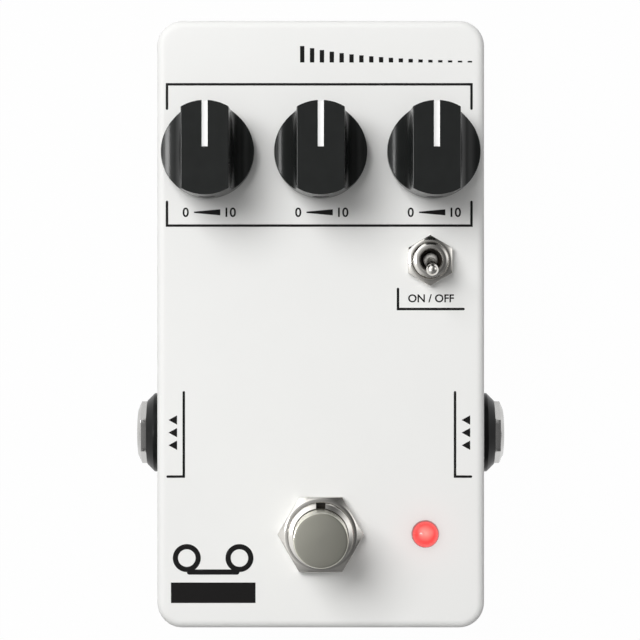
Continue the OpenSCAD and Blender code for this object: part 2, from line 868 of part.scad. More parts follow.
module toggle_nut() color("silver") {
  at_toggle() translate([0, 0, face_z]) rotate(90)
    hex_nut(toggle_nut_af, toggle_nut_t, toggle_bush_d / 2 + run);
}

module toggle_lock_washer() color("silver") {
  teeth = 12;
  tooth_w = 1;
  hole_r = toggle_bush_d / 2 + slip;
  at_toggle() difference() {
    ring(toggle_lock_d / 2, hole_r, toggle_flange_top, under_z);
    for (k = [0:teeth - 1]) rotate(k * 360 / teeth)
      translate([toggle_lock_d / 2 - 0.6, 0, 0])
        block(1.6, tooth_w, toggle_flange_top - 1, under_z + 1);
  }
}

// The middle pin carries the rocker, and each outer pin is a contact under one of its ends
module toggle_pins() color("gold") {
  tilt = lever_lean * rocker_ratio;
  ends = rocker_axis_z + rocker_rod_r / 2 * cos(tilt) - (contact_y + pin_r) * sin(tilt) - run;
  at_toggle() {
    post(pin_r, board_z - pin_out, rocker_axis_z - rocker_rod_r - run);
    for (side = [-1, 1]) translate([0, side * contact_y]) post(pin_r, board_z - pin_out, ends);
  }
}

// The rocker is a see-saw contact that the lever's tail tips over
module toggle_rocker() color("gold") {
  at_toggle() translate([0, 0, rocker_axis_z]) rotate([-lever_lean * rocker_ratio, 0, 0]) {
    rotate([0, 90, 0]) translate([0, 0, -rocker_w / 2]) cylinder(r = rocker_rod_r, h = rocker_w);
    translate([-rocker_w / 2, -rocker_l / 2, rocker_rod_r / 2]) cube([rocker_w, rocker_l, rocker_t]);
  }
}

// Foot switch

module footswitch_body() color("royalblue") {
  top = fs_body_z + fs_body_h;
  inside = fs_body - 2 * fs_wall;
  at_foot_switch() difference() {
    block(fs_body, fs_body, fs_body_z, top);
    block(inside, inside, fs_body_z + fs_wall, top + 1);
    for (side = [-1, 1]) translate([side * fs_pin_x, 0]) post(fs_pin_r + run, fs_body_z - 1, top);
  }
}

module footswitch_bushing() color("silver") {
  chamfer = 0.5;
  bush_r = fs_bush_d / 2;
  bore_r = button_d / 2 + run;
  at_foot_switch() difference() {
    union() {
      block(fs_body, fs_body, fs_flange_top - fs_flange_t, fs_flange_top);
      post(bush_r, fs_flange_top - eps, fs_bush_top - chamfer);
      translate([0, 0, fs_bush_top - chamfer])
        cylinder(r1 = bush_r, r2 = bush_r - chamfer, h = chamfer);
    }
    post(bore_r, fs_floor_z, fs_bush_top + 1);
    post(stem_r + run, fs_flange_top - fs_flange_t - 1, fs_floor_z + 1);
    translate([0, bush_r - key_depth / 2 + eps, 0])
      block(key_w, key_depth + eps, fs_flange_top, fs_bush_top + 1);
  }
}

module footswitch_button() color("silver") {
  round_r = 0.7;
  r = button_d / 2;
  at_foot_switch() {
    rotate_extrude() {
      translate([0, button_z]) square([r, button_top - button_z - round_r]);
      translate([0, button_z]) square([r - round_r, button_top - button_z]);
      translate([r - round_r, button_top - round_r]) circle(r = round_r);
    }
    post(stem_r, contact_z, button_z + eps);
  }
}

module footswitch_nut() color("silver") {
  at_foot_switch() translate([0, 0, face_z]) hex_nut(fs_nut_af, fs_nut_t, fs_bush_d / 2 + run);
}

module footswitch_back_nut() color("silver") {
  at_foot_switch() translate([0, 0, fs_flange_top])
    hex_nut(fs_nut_af, fs_back_nut_t, fs_bush_d / 2 + run);
}

module footswitch_lock_washer() color("silver") {
  at_foot_switch() ring(fs_lock_d / 2, fs_bush_d / 2 + slip, under_z - fs_lock_t, under_z);
}

// The return spring stands on the bushing's floor and carries the button
module footswitch_spring() color("gray") {
  steps = 8 * spring_turns;
  low = fs_floor_z + spring_wire_r;
  high = button_z - spring_wire_r;
  pitch = (high - low) / spring_turns;
  slope = atan(pitch / (2 * PI * spring_r));
  turn = [for (i = [0:steps]) 360 * spring_turns * i / steps];
  points = [
    for (i = [0:steps])
      [spring_r * cos(turn[i]), spring_r * sin(turn[i]), low + (high - low) * i / steps]
  ];
  out = [for (a = turn) [cos(a), sin(a), 0]];
  up = [for (a = turn) [sin(a) * sin(slope), -cos(a) * sin(slope), cos(slope)]];
  at_foot_switch() tube(points, out, up, spring_wire_r, 6);
}

module footswitch_contact() color("gold") {
  at_foot_switch() {
    ring(contact_hub_r, stem_r + run / 2, contact_z + contact_disc_t - eps, stop_z);
    ring(contact_disc_r, stem_r + run / 2, contact_z, contact_z + contact_disc_t);
  }
}

module footswitch_pins() color("gold") {
  head_r = 1.2;
  floor_top = fs_body_z + fs_wall;
  at_foot_switch() for (side = [-1, 1]) translate([side * fs_pin_x, 0]) {
    post(head_r, floor_top, fixed_contact_top);
    post(fs_pin_r, switch_board_z - pin_out, floor_top + eps);
  }
}

// Lamp

module led_lens() color("red") {
  r = lamp_d / 2;
  at_lamp() {
    post(lamp_flange_r, lamp_z, lamp_z + lamp_flange_t);
    post(r, lamp_z, lamp_top - r);
    translate([0, 0, lamp_top - r]) sphere(r = r);
  }
}

module led_leads() color("silver") {
  at_lamp() for (side = [-1, 1]) translate([side * lead_pitch / 2, 0])
    block(lead_w, lead_w, switch_board_z - pin_out, lamp_z);
}

// Jacks

module jack_housing(side) color("#1c1c1e") {
  slot_w = tip_spring_w + 0.8;
  x0 = jack_back;
  difference() {
    translate([side > 0 ? x0 : -jack_front, jack_y - jack_w / 2, jack_z - jack_h / 2])
      cube([jack_depth, jack_w, jack_h]);
    along_jack(side) {
      post(plug_path_d / 2, jack_back - 1, jack_front);
      post(jack_bush_d / 2 + run, jack_bush_x, jack_front + 1);
    }
    translate([side > 0 ? x0 - tip_root : -spring_root_x - tip_root, jack_y - slot_w / 2, jack_z])
      cube([tip_spring_l + 2 * tip_root, slot_w, tip_slot_rise]);
  }
}

module jack_bushing(side) color("silver") {
  chamfer = 0.4;
  along_jack(side) difference() {
    union() {
      post(jack_bush_d / 2, jack_bush_x, jack_bush_end - chamfer);
      translate([0, 0, jack_bush_end - chamfer])
        cylinder(d1 = jack_bush_d, d2 = jack_bush_d - 2 * chamfer, h = chamfer);
    }
    post(jack_bore_d / 2, jack_bush_x - 1, jack_bush_end + 1);
  }
}

// The leaf that presses on a plug's tip: it slopes down from its root, dips into the plug's path and turns up
module tip_spring(side) color("gold") {
  line = [
    [tip_spring_l + tip_root - run, tip_root_rise], [tip_spring_l, tip_root_rise],
    tip_knee, tip_dip, tip_tail
  ];
  outline = concat(
    [for (p = line) p],
    [for (k = [len(line) - 1:-1:0]) line[k] + [0, tip_spring_t]]
  );
  translate([0, jack_y + tip_spring_w / 2, 0]) rotate([90, 0, 0])
    linear_extrude(tip_spring_w)
      polygon([for (p = outline) [side * (jack_back + p[0]), jack_z + p[1]]]);
}

module jack_washers() color("#1c1c1e") {
  for (side = [-1, 1]) along_jack(side) difference() {
    union() {
      post(jack_washer_d / 2, jack_seat, jack_seat + washer_rim_t);
      translate([0, 0, jack_seat + washer_rim_t])
        cylinder(d1 = jack_washer_d, d2 = jack_washer_d - 2 * washer_bevel, h = washer_bevel);
    }
    post(jack_bush_d / 2 + slip, jack_seat - 1, jack_nut_x + 1);
  }
}

// A nut whose outer half is a cone
module jack_nuts() color("silver") {
  corner = jack_nut_af / 2 / cos(30);
  nose_r = jack_bush_d / 2 + 0.3;
  for (side = [-1, 1]) along_jack(side) difference() {
    intersection() {
      translate([0, 0, jack_nut_x]) rotate(side * jack_nut_turn + 30)
        cylinder(r = corner, h = jack_nut_t, $fn = 6);
      union() {
        post(corner + eps, jack_nut_x, jack_nut_x + jack_nut_hex_t);
        translate([0, 0, jack_nut_x + jack_nut_hex_t])
          cylinder(r1 = corner + eps, r2 = nose_r, h = jack_nut_t - jack_nut_hex_t);
      }
    }
    post(jack_bush_d / 2 + run, jack_nut_x - 1, jack_end_x + 1);
  }
}

module jack_pins() color("gold") {
  for (p = jack_pin_places()) translate(p) post(pin_r, board_z, board_top + pin_out);
}

// The part

case_shell();
base_plate();
base_screws();
rubber_feet();
main_board();
delay_chip();
amplifier_chips();
voltage_regulator();
electrolytic_capacitors();
chip_components();
power_jack_housing();
power_jack_pin();
power_jack_contacts();
switch_board();
ribbon_cable();
ribbon_headers();
pot_frames();
pot_bases();
pot_pins();
pot_nuts();
pot_washers();
at_dial(-1) knob();  // left_knob
at_dial(-1) pointer();  // left_pointer
at_dial(-1) set_screw();  // left_set_screw
at_dial(-1) shaft();  // left_shaft
at_dial(0) knob();  // middle_knob
at_dial(0) pointer();  // middle_pointer
at_dial(0) set_screw();  // middle_set_screw
at_dial(0) shaft();  // middle_shaft
at_dial(1) knob();  // right_knob
at_dial(1) pointer();  // right_pointer
at_dial(1) set_screw();  // right_set_screw
at_dial(1) shaft();  // right_shaft
toggle_body();
toggle_bushing();
toggle_lever();
toggle_nut();
toggle_lock_washer();
toggle_pins();
toggle_rocker();
footswitch_body();
footswitch_bushing();
footswitch_button();
footswitch_nut();
footswitch_back_nut();
footswitch_lock_washer();
footswitch_spring();
footswitch_contact();
footswitch_pins();
led_lens();
led_leads();
jack_housing(-1);  // output_jack_housing
jack_housing(1);  // input_jack_housing
jack_bushing(-1);  // output_jack_bushing
jack_bushing(1);  // input_jack_bushing
tip_spring(-1);  // output_tip_spring
tip_spring(1);  // input_tip_spring
jack_washers();
jack_nuts();
jack_pins();
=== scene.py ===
"""A white echo pedal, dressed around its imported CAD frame."""

import json
import math

import bmesh
import bpy
from bpy.props import FloatProperty, FloatVectorProperty, IntProperty, PointerProperty
from mathutils import Matrix, Vector

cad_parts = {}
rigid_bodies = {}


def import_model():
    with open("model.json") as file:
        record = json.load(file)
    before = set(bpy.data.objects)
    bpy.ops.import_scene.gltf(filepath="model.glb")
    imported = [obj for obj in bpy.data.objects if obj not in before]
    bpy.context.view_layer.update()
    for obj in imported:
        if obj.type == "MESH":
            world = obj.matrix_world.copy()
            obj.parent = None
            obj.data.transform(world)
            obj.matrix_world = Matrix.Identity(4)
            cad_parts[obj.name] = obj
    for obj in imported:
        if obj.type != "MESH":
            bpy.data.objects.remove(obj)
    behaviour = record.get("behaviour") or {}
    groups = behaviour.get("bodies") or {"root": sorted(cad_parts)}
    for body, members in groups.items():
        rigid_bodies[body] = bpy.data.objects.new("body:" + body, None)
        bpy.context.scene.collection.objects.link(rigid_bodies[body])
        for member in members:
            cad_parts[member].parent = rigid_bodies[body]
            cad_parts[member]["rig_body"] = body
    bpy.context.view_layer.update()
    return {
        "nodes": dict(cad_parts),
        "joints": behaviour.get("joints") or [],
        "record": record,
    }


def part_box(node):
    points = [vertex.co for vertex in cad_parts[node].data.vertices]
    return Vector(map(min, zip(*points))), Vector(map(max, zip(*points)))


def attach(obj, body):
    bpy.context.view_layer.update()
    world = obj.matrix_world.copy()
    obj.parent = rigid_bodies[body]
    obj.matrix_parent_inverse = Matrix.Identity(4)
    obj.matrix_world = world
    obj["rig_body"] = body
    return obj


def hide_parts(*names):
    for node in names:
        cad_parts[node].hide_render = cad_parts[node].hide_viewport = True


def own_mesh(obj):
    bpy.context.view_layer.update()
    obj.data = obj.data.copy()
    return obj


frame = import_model()

bl_info = {
    "name": "White echo pedal",
    "version": (1, 0, 0),
    "blender": (4, 5, 0),
    "location": "3D View > Sidebar > Pedal",
    "description": "Builds the painted case, knobs, switches, lamp and jacks of an echo pedal",
    "category": "Object",
}

MM = 0.001
TINY = 0.0001 * MM
UP = Vector((0, 0, 1))
MIRROR_Y = Matrix.Diagonal((1, -1, 1))
CORNERS = ((1, 1), (-1, 1), (-1, -1), (1, -1))
SLOTS = {row["node"]: row["material_slot"] for row in frame["record"]["subparts"]}


def middle(node):
    """Middle of a CAD node's box."""
    low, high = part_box(node)
    return (low + high) / 2


# Names, places and levels that the CAD frame fixes.
SHELL_LOW, SHELL_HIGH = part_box("case_shell")
FACE = SHELL_HIGH.z
SEAM = SHELL_LOW.z
DIALS = ("left", "middle", "right")
TOGGLE = middle("toggle_nut")
STOMP = middle("footswitch_nut")
LAMP = middle("led_lens")
JACK = middle("jack_nuts")
SOCKET = middle("power_jack_pin")
SCREW_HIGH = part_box("base_screws")[1]
JOINTS = {joint["name"]: joint for joint in frame["joints"]}
BAT_PIVOT = JOINTS["toggle_throw"]["pos_m"]

# Width of the flat band inside a rounded edge, which keeps the flat's shading even.
EDGE_BAND = 1.2 * MM

# Rounding of the nuts' edges, and radius of the bore around the toggle lever's tail.
NUT_EDGE = 0.06 * MM
TAIL_BORE = 2.4 * MM


def length(label, text, millimetres, lowest=0.0):
    """A length property, given in millimetres."""
    return FloatProperty(
        name=label, description=text, default=millimetres * MM, min=lowest * MM, unit="LENGTH", precision=5,
    )


def degrees(label, text, value):
    """An angle property, given in degrees."""
    return FloatProperty(name=label, description=text, default=math.radians(value), subtype="ANGLE")


def number(label, text, value):
    """A plain number property."""
    return FloatProperty(name=label, description=text, default=value)


def colour(label, text, value):
    """A colour property in linear light."""
    return FloatVectorProperty(
        name=label, description=text, default=value, subtype="COLOR", min=0.0, max=1.0,
    )


class CaseSettings(bpy.types.PropertyGroup):
    """The painted box and its cover."""

    corner_radius: length("Corner radius", "Radius of the upright corners, seen from above", 4.6)
    edge_radius: length("Edge radius", "Radius along the edge of the face", 1.5)
    wall: length("Wall", "Thickness of the walls and the face", 2.2)
    draft: length("Draft", "How far each wall leans in towards the face", 0.4)
    rim: length("Rim", "Straight part of the walls above the seam", 1.0)
    seam_break: length("Seam break", "Broken edge on either side of the seam", 0.22)
    cover_edge: length("Cover edge", "Radius along the lower edge of the cover", 1.0)
    lip_height: length("Lip height", "Height of the cover's lip inside the box", 1.6)
    lip_wall: length("Lip wall", "Thickness of the cover's lip", 1.4)
    lip_gap: length("Lip gap", "Gap between the cover's lip and the walls", 0.35)
    lip_corner: length("Lip corner", "Radius of the lip's corners on the inside", 1.0)
    clearance: length("Clearance", "Gap around a bushing in its hole", 0.2)
    shaft_hole: length("Shaft hole", "Radius of a dial's hole in the face", 3.75)
    lamp_hole: length("Lamp hole", "Radius of the lamp's hole in the face", 2.51)
    socket_hole: length("Socket hole", "Radius of the power socket's hole", 5.7)
    screw_post: length("Screw post", "Radius of the posts that take the cover's screws", 3.75)
    screw_head: length("Screw head", "Radius of a cover screw's head", 3.2)
    screw_rim: length("Screw rim", "Straight edge of a cover screw's head", 0.3)
    screw_sink: length("Screw sink", "Height of a cover screw's coned head", 1.75)
    screw_shank: length("Screw shank", "Radius of a cover screw's thread", 1.75)
    screw_length: length("Screw length", "Length of a cover screw", 12.0)
    foot_radius: length("Foot radius", "Largest radius of a rubber foot", 4.75)
    foot_height: length("Foot height", "Height of a rubber foot", 3.0)
    paint: colour("Paint", "Colour of the powder coat", (0.86, 0.86, 0.845))


class KnobSettings(bpy.types.PropertyGroup):
    """The three pointer knobs."""

    bar_width: length("Bar width", "Width of the grip bar at its top", 8.5)
    bar_draft: length("Bar draft", "How far each side of the bar leans out", 0.12)
    scoop_radius: length("Scoop radius", "Radius of the hollow on each side", 4.2)
    rim_height: length("Rim height", "Height of the lowest point of the hollows", 2.8)
    edge: length("Edge", "Rounding of the moulded edges", 0.14)
    bar_edge: length("Bar edge", "Rounding along the top of the bar", 0.182)
    draft: length("Draft", "How far the round wall leans in", 0.1)
    hollow: length("Hollow", "Radius of the hollow underneath", 6.47)
    hollow_depth: length("Hollow depth", "Depth of the hollow underneath", 3.0)
    bore: length("Bore", "Radius of the shaft's bore", 3.02)
    bore_depth: length("Bore depth", "Depth of the shaft's bore", 12.2)
    screw_hole: length("Screw hole", "Radius of the set screw's hole", 1.52)
    line_width: length("Line width", "Width of the white line", 1.06)
    line_foot: length("Line foot", "Height at which the line ends on the wall", 3.2)
    line_depth: length("Line depth", "Depth of the line's groove", 0.5)
    plastic: colour("Plastic", "Colour of the knobs", (0.0135, 0.0146, 0.0142))


class SwitchSettings(bpy.types.PropertyGroup):
    """The toggle and the foot switch."""

    toggle_thread: length("Toggle thread", "Radius of the toggle's bushing", 3.175)
    toggle_pitch: length("Toggle pitch", "Pitch of the toggle's thread", 0.635)
    toggle_mouth: length("Toggle mouth", "Radius of the toggle's mouth", 2.0)
    toggle_face: length("Toggle face", "Radius of the round face of the toggle's nut", 3.7)
    toggle_flange: length("Toggle flange", "Thickness of the flange under the toggle's thread", 0.6)
    bat_tip: length("Bat tip", "Radius of the lever at its tip", 1.1)
    bat_neck: length("Bat neck", "Radius of the lever at its neck", 0.8)
    bat_ball: length("Bat ball", "Radius of the lever's ball", 1.36)
    bat_length: length("Bat length", "Length of the lever above its pivot", 10.0)
    bat_tail: length("Bat tail", "Length of the lever's straight part below its pivot", 6.4)
    bat_lean: degrees("Bat lean", "Lean of the lever at rest", 12)
    stomp_thread: length("Foot switch thread", "Radius of the foot switch's bushing", 5.85)
    stomp_pitch: length("Foot switch pitch", "Pitch of the foot switch's thread", 1.0)
    stomp_bore: length("Foot switch bore", "Radius of the foot switch's bore", 4.98)
    stomp_flange: length("Foot switch flange", "Thickness of the flange under the foot switch's thread", 1.0)
    coil_wire: length("Coil wire", "Radius of the foot switch's spring wire", 0.3)
    coil_turns: number("Coil turns", "Number of the spring's turns", 3.0)
    stem: length("Stem", "Radius of the cap's stem", 2.0)
    cap_foot: length("Cap foot", "Height of the cap's lower edge above the face", 2.8)
    cap_edge: length("Cap edge", "Rounding of the cap's edge", 0.22)
    cap_crown: length("Cap crown", "How far the cap's top is domed", 0.16)
    nickel: colour("Nickel", "Colour of the bright metal", (0.74, 0.72, 0.68))
    satin: colour("Satin nickel", "Colour of the foot switch's cap", (0.74, 0.73, 0.635))


class LampSettings(bpy.types.PropertyGroup):
    """The status lamp."""

    radius: length("Radius", "Radius of the dome", 2.5)
    flange: length("Flange", "Radius of the flange under the face", 2.9)
    flange_height: length("Flange height", "Thickness of the flange", 1.0)
    lens: colour("Lens", "Colour of the plastic", (0.4, 0.015, 0.015))
    glow: colour("Glow", "Colour of the lit plastic", (0.8, 0.075, 0.07))
    # The heart's colour is partly the die's glow and partly a painted highlight.
    heart_and_highlight: colour("Heart", "Colour of the light in the middle", (1.0, 0.36, 0.31))


class JackSettings(bpy.types.PropertyGroup):
    """The audio jacks in the sides."""

    bezel_radius: length("Bezel radius", "Outer radius of the black washer", 7.4)
    bezel_rim: length("Bezel rim", "Straight part of the washer's edge", 1.0)
    bezel_height: length("Bezel height", "Thickness of the washer", 2.4)
    nut_flats: length("Nut flats", "Width of the nut across flats", 10.2)
    nut_height: length("Nut height", "Thickness of the nut", 1.7)
    nut_nose: length("Nut nose", "Radius at which the nut's cone ends", 4.4)
    nut_turn: degrees("Nut turn", "How far the nuts are turned", 5)
    thread: length("Thread", "Radius of the jack's bushing", 4.1)
    bore: length("Bore", "Radius of the plug's bore", 3.25)


class PrintSettings(bpy.types.PropertyGroup):
    """The printed lines and marks."""

    line: length("Line", "Width of the printed lines", 0.45)
    film: length("Film", "Height of the ink above the paint", 0.02)
    digit: length("Digit", "Height of the numbers under the knobs", 1.7)
    capital: length("Capital", "Type size of the words at the toggle", 2.0)
    reel: length("Reel", "Radius of the two printed reels", 2.55)
    tape: length("Tape", "Width of the reels' rings and of the tape between them", 0.95)
    bars: IntProperty(name="Bars", description="Number of bars in the fading row", default=18, min=1)
    bar_width: length("Bar", "Width of one bar", 0.8)
    bar_height: length("Bar height", "Height of the first bar", 3.0)
    bar_row: length("Bar row", "Length of the fading row", 31.34)
    fade: number("Fade", "Height of each bar against the one before", 0.87)
    ink: colour("Ink", "Colour of the ink", (0.0062, 0.0058, 0.0058))


class StageSettings(bpy.types.PropertyGroup):
    """Camera, floor and light."""

    camera_height: length("Camera height", "Height of the camera above the face", 480.0)
    view_width: length("View width", "Width of the view at the face", 116.6)
    view_x: length("View X", "Middle of the view along X", -0.13, lowest=-100.0)
    view_y: length("View Y", "Middle of the view along Y", 0.77, lowest=-100.0)
    floor: length("Floor", "Side of the floor", 6000.0)
    lamp_distance: length("Lamp distance", "Distance of the lamps from the origin", 800.0)
    key_power: number("Key power", "Power of the large soft lamp", 4.95)
    side_power: number("Side power", "Power of the reflected lamp on the left", 2.7)
    sky: number("Sky", "Strength of the light from all round", 1.0)


class PedalSettings(bpy.types.PropertyGroup):
    """Everything that a user would change."""

    case: PointerProperty(type=CaseSettings)
    knob: PointerProperty(type=KnobSettings)
    switch: PointerProperty(type=SwitchSettings)
    lamp: PointerProperty(type=LampSettings)
    jack: PointerProperty(type=JackSettings)
    print: PointerProperty(type=PrintSettings)
    stage: PointerProperty(type=StageSettings)


class Field:
    """A value in a node tree. Arithmetic on it adds Math nodes."""

    def __init__(self, owner, socket):
        self.owner = owner
        self.socket = socket

    def math(self, operation, *terms):
        """Adds a Math node."""
        return self.owner.node("ShaderNodeMath", {"operation": operation}, dict(enumerate(terms)))

    def __add__(self, other):
        return self.math("ADD", self, other)

    __radd__ = __add__

    def __sub__(self, other):
        return self.math("SUBTRACT", self, other)

    def __rsub__(self, other):
        return self.math("SUBTRACT", other, self)

    def __mul__(self, other):
        return self.math("MULTIPLY", self, other)

    __rmul__ = __mul__

    def __truediv__(self, other):
        return self.math("DIVIDE", self, other)

    def __rtruediv__(self, other):
        return self.math("DIVIDE", other, self)

    def __pow__(self, other):
        return self.math("POWER", self, other)

    def __rpow__(self, other):
        return self.math("POWER", other, self)

    def sine(self):
        """Sine of the value, taken as radians."""
        return self.math("SINE", self)

    def exponent(self):
        """The number e to the power of the value."""
        return self.math("EXPONENT", self)

    def clamped(self):
        """The value held between 0 and 1."""
        return self.math("MINIMUM", self.math("MAXIMUM", self, 0.0), 1.0)


class NodeTree:
    """Fills an emptied node tree. Surfaces are worked out on Object coordinates."""

    def __init__(self, tree):
        self.tree = tree
        tree.nodes.clear()

    def node(self, kind, settings=None, inputs=None, output=0):
        """Adds a node: its settings first, then values or links for its sockets."""
        made = self.tree.nodes.new(kind)
        for key, value in (settings or {}).items():
            setattr(made, key, value)
        for key, value in (inputs or {}).items():
            self.feed(made.inputs[key], value)
        return Field(self, made.outputs[output]) if made.outputs else made

    def feed(self, socket, value):
        """Links a field to a socket, or sets the socket's own value."""
        if isinstance(value, Field):
            self.tree.links.new(value.socket, socket)
        elif socket.type == "RGBA" and len(value) == 3:
            socket.default_value = (*value, 1.0)
        else:
            socket.default_value = value

    def place(self):
        """Object coordinates, in metres."""
        return self.node("ShaderNodeTexCoord", output="Object")

    def noise(self, size, detail, stretch=None):
        """Noise with features of one size in metres, optionally stretched along the axes."""
        where = self.place()
        if stretch:
            where = self.node("ShaderNodeMapping", None, {"Vector": where, "Scale": stretch})
        inputs = {"Vector": where, "Scale": 1.0 / size, "Detail": detail}
        return self.node("ShaderNodeTexNoise", None, inputs)

    def from_axis(self, centre, keep=(1, 1, 0)):
        """Distance from an axis through a point; keep names the directions that count."""
        offset = self.node("ShaderNodeVectorMath", {"operation": "SUBTRACT"}, {0: self.place(), 1: centre})
        flat = self.node("ShaderNodeVectorMath", {"operation": "MULTIPLY"}, {0: offset, 1: keep})
        return self.node("ShaderNodeVectorMath", {"operation": "LENGTH"}, {0: flat}, output="Value")

    def along(self, axis):
        """Object coordinate along X, Y or Z, in metres."""
        return self.node("ShaderNodeSeparateXYZ", None, {0: self.place()}, output=axis)

    def ray(self, kind):
        """1 for rays of a kind, such as Camera or Glossy, and 0 for others."""
        return self.node("ShaderNodeLightPath", output=f"Is {kind} Ray")

    def mix(self, factor, first, second):
        """Mixes two colours."""
        return self.node("ShaderNodeMix", {"data_type": "RGBA"}, {0: factor, 6: first, 7: second}, output=2)

    def bump(self, height, strength, depth):
        """A normal bent by a height field, of a depth in metres."""
        inputs = {"Height": height, "Strength": strength, "Distance": depth}
        return self.node("ShaderNodeBump", None, inputs, output="Normal")

    def surface(self, inputs):
        """Ends a material in one Principled surface."""
        shader = self.node("ShaderNodeBsdfPrincipled", None, inputs)
        self.node("ShaderNodeOutputMaterial", None, {"Surface": shader})


def pedal():
    """The pedal's settings in the scene."""
    return bpy.context.scene.pedal


def tinted(value, factor):
    """A colour made lighter or darker."""
    return tuple(min(1.0, part * factor) for part in value)


def powder_coat(made):
    """White powder coat: orange peel, faint mottling and dust towards the seam."""
    paint = pedal().case.paint
    peel = made.noise(0.9 * MM, 1.0)
    grain = made.noise(0.14 * MM, 1.0)
    mottle = made.noise(14 * MM, 4.0)
    dusty = 3 * MM
    dust = (1.0 - (made.along("Z") - SEAM) / dusty).clamped() * made.noise(1.8 * MM, 4.0)
    clean = made.mix(mottle, tinted(paint, 0.985), tinted(paint, 1.01))
    made.surface({
        "Base Color": made.mix(dust * 0.35, clean, (0.55, 0.54, 0.51)),
        "Roughness": 0.34 + 0.12 * mottle + 0.08 * grain,
        "Specular IOR Level": 0.1,
        "Normal": made.bump(peel + 0.12 * grain, 0.22, 0.03 * MM),
    })


def knob_plastic(made):
    """Moulded black plastic with a fine satin grain."""
    plastic = pedal().knob.plastic
    grain = made.noise(0.11 * MM, 2.0)
    cloud = made.noise(2.6 * MM, 3.0)
    rub = (made.noise(0.5 * MM, 5.0, (1.0, 0.12, 1.0)) * 4.0 - 2.3).clamped()
    made.surface({
        "Base Color": made.mix(cloud * 0.6 + rub * 0.1, tinted(plastic, 0.85), tinted(plastic, 1.4)),
        "Roughness": 0.21 + 0.05 * cloud + 0.04 * rub,
        "Specular IOR Level": 0.3,
        "Normal": made.bump(grain, 0.12, 0.012 * MM),
    })


def black_washer(made):
    """Black moulded washer, a little greyer on its rubbed rim."""
    plastic = pedal().knob.plastic
    grain = made.noise(0.16 * MM, 2.0)
    rub = (made.noise(1.1 * MM, 4.0) * 3.0 - 1.4).clamped()
    made.surface({
        "Base Color": made.mix(rub, tinted(plastic, 0.4), tinted(plastic, 0.75)),
        "Roughness": 0.3 + 0.12 * rub,
        "Specular IOR Level": 0.2,
        "Normal": made.bump(grain, 0.2, 0.015 * MM),
    })


def white_fill(made):
    """White filled line of a knob, with slight smudges."""
    smudge = made.noise(0.7 * MM, 4.0)
    made.surface({
        "Base Color": made.mix(smudge, (0.93, 0.93, 0.925), (0.86, 0.86, 0.85)),
        "Roughness": 0.38 + 0.1 * smudge,
        "Normal": made.bump(smudge, 0.12, 0.01 * MM),
    })


def metal(made, base, rough, grain_size, bump, depth, stretch=None):
    """Plated metal: cloudy roughness, fine grain and a trace of tarnish."""
    cloud = made.noise(2.4 * MM, 4.0)
    grain = made.noise(grain_size, 3.0, stretch)
    made.surface({
        "Base Color": made.mix(cloud, tinted(base, 0.93), tinted(base, 1.05)),
        "Metallic": 1.0,
        "Roughness": rough + rough * 0.7 * cloud * grain,
        "Normal": made.bump(grain, bump, depth),
    })


def bright_nickel(made):
    """Bright nickel plate of nuts and bushings."""
    metal(made, pedal().switch.nickel, 0.13, 0.2 * MM, 0.06, 0.008 * MM)


def hollow_nickel(made, base, away, mouth, nut):
    """Bright nickel, painted dark and dull as shade inside its bore and below the top of its nut."""
    cloud = made.noise(2.4 * MM, 4.0)
    grain = made.noise(0.2 * MM, 3.0)
    # Masks of the plate that stays bright; everywhere else the plate is painted shade, not metal.
    above = ((made.along("Z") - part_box(nut)[1].z) / (0.2 * MM) + 1.0).clamped()
    bright = ((away - mouth) / (0.05 * MM)).clamped() * above
    plate = made.mix(cloud, tinted(base, 0.93), tinted(base, 1.05))
    # Near-black colour painted where the bore and the nut's hole lie in shade.
    painted_shade = (0.02, 0.016, 0.012)
    made.surface({
        "Base Color": made.mix(bright, painted_shade, plate),
        "Metallic": bright,
        "Roughness": 0.13 + 0.09 * cloud * grain + 0.4 * (1.0 - bright),
        "Normal": made.bump(grain, 0.06, 0.008 * MM),
    })


def toggle_nickel(made):
    """The toggle's bushing: nickel plate with painted shade in its mouth."""
    switch = pedal().switch
    hollow_nickel(made, switch.nickel, made.from_axis(TOGGLE), switch.toggle_mouth, "toggle_nut")


def stomp_nickel(made):
    """The foot switch's bushing: nickel plate with painted shade in its bore."""
    switch = pedal().switch
    hollow_nickel(made, switch.nickel, made.from_axis(STOMP), switch.stomp_bore, "footswitch_nut")


def jack_nickel(made):
    """Duller nickel plate of the jacks' nuts."""
    metal(made, (0.535, 0.53, 0.52), 0.17, 0.2 * MM, 0.08, 0.008 * MM)


def bat_nickel(made):
    """The toggle's lever: bright, with a satin ball at its pivot."""
    base = pedal().switch.nickel
    cloud = made.noise(2.4 * MM, 4.0)
    grain = made.noise(0.2 * MM, 3.0)
    away = made.from_axis(BAT_PIVOT, (1, 1, 1))
    satin_radius = 1.5 * MM
    satin = 1.0 - ((away - satin_radius) / (0.4 * MM)).clamped()
    made.surface({
        "Base Color": made.mix(cloud, tinted(base, 0.95), tinted(base, 1.1)),
        "Metallic": 1.0 - 0.85 * satin,
        "Roughness": 0.12 + 0.08 * cloud * grain + 0.3 * satin,
        "Normal": made.bump(grain, 0.06, 0.008 * MM),
    })


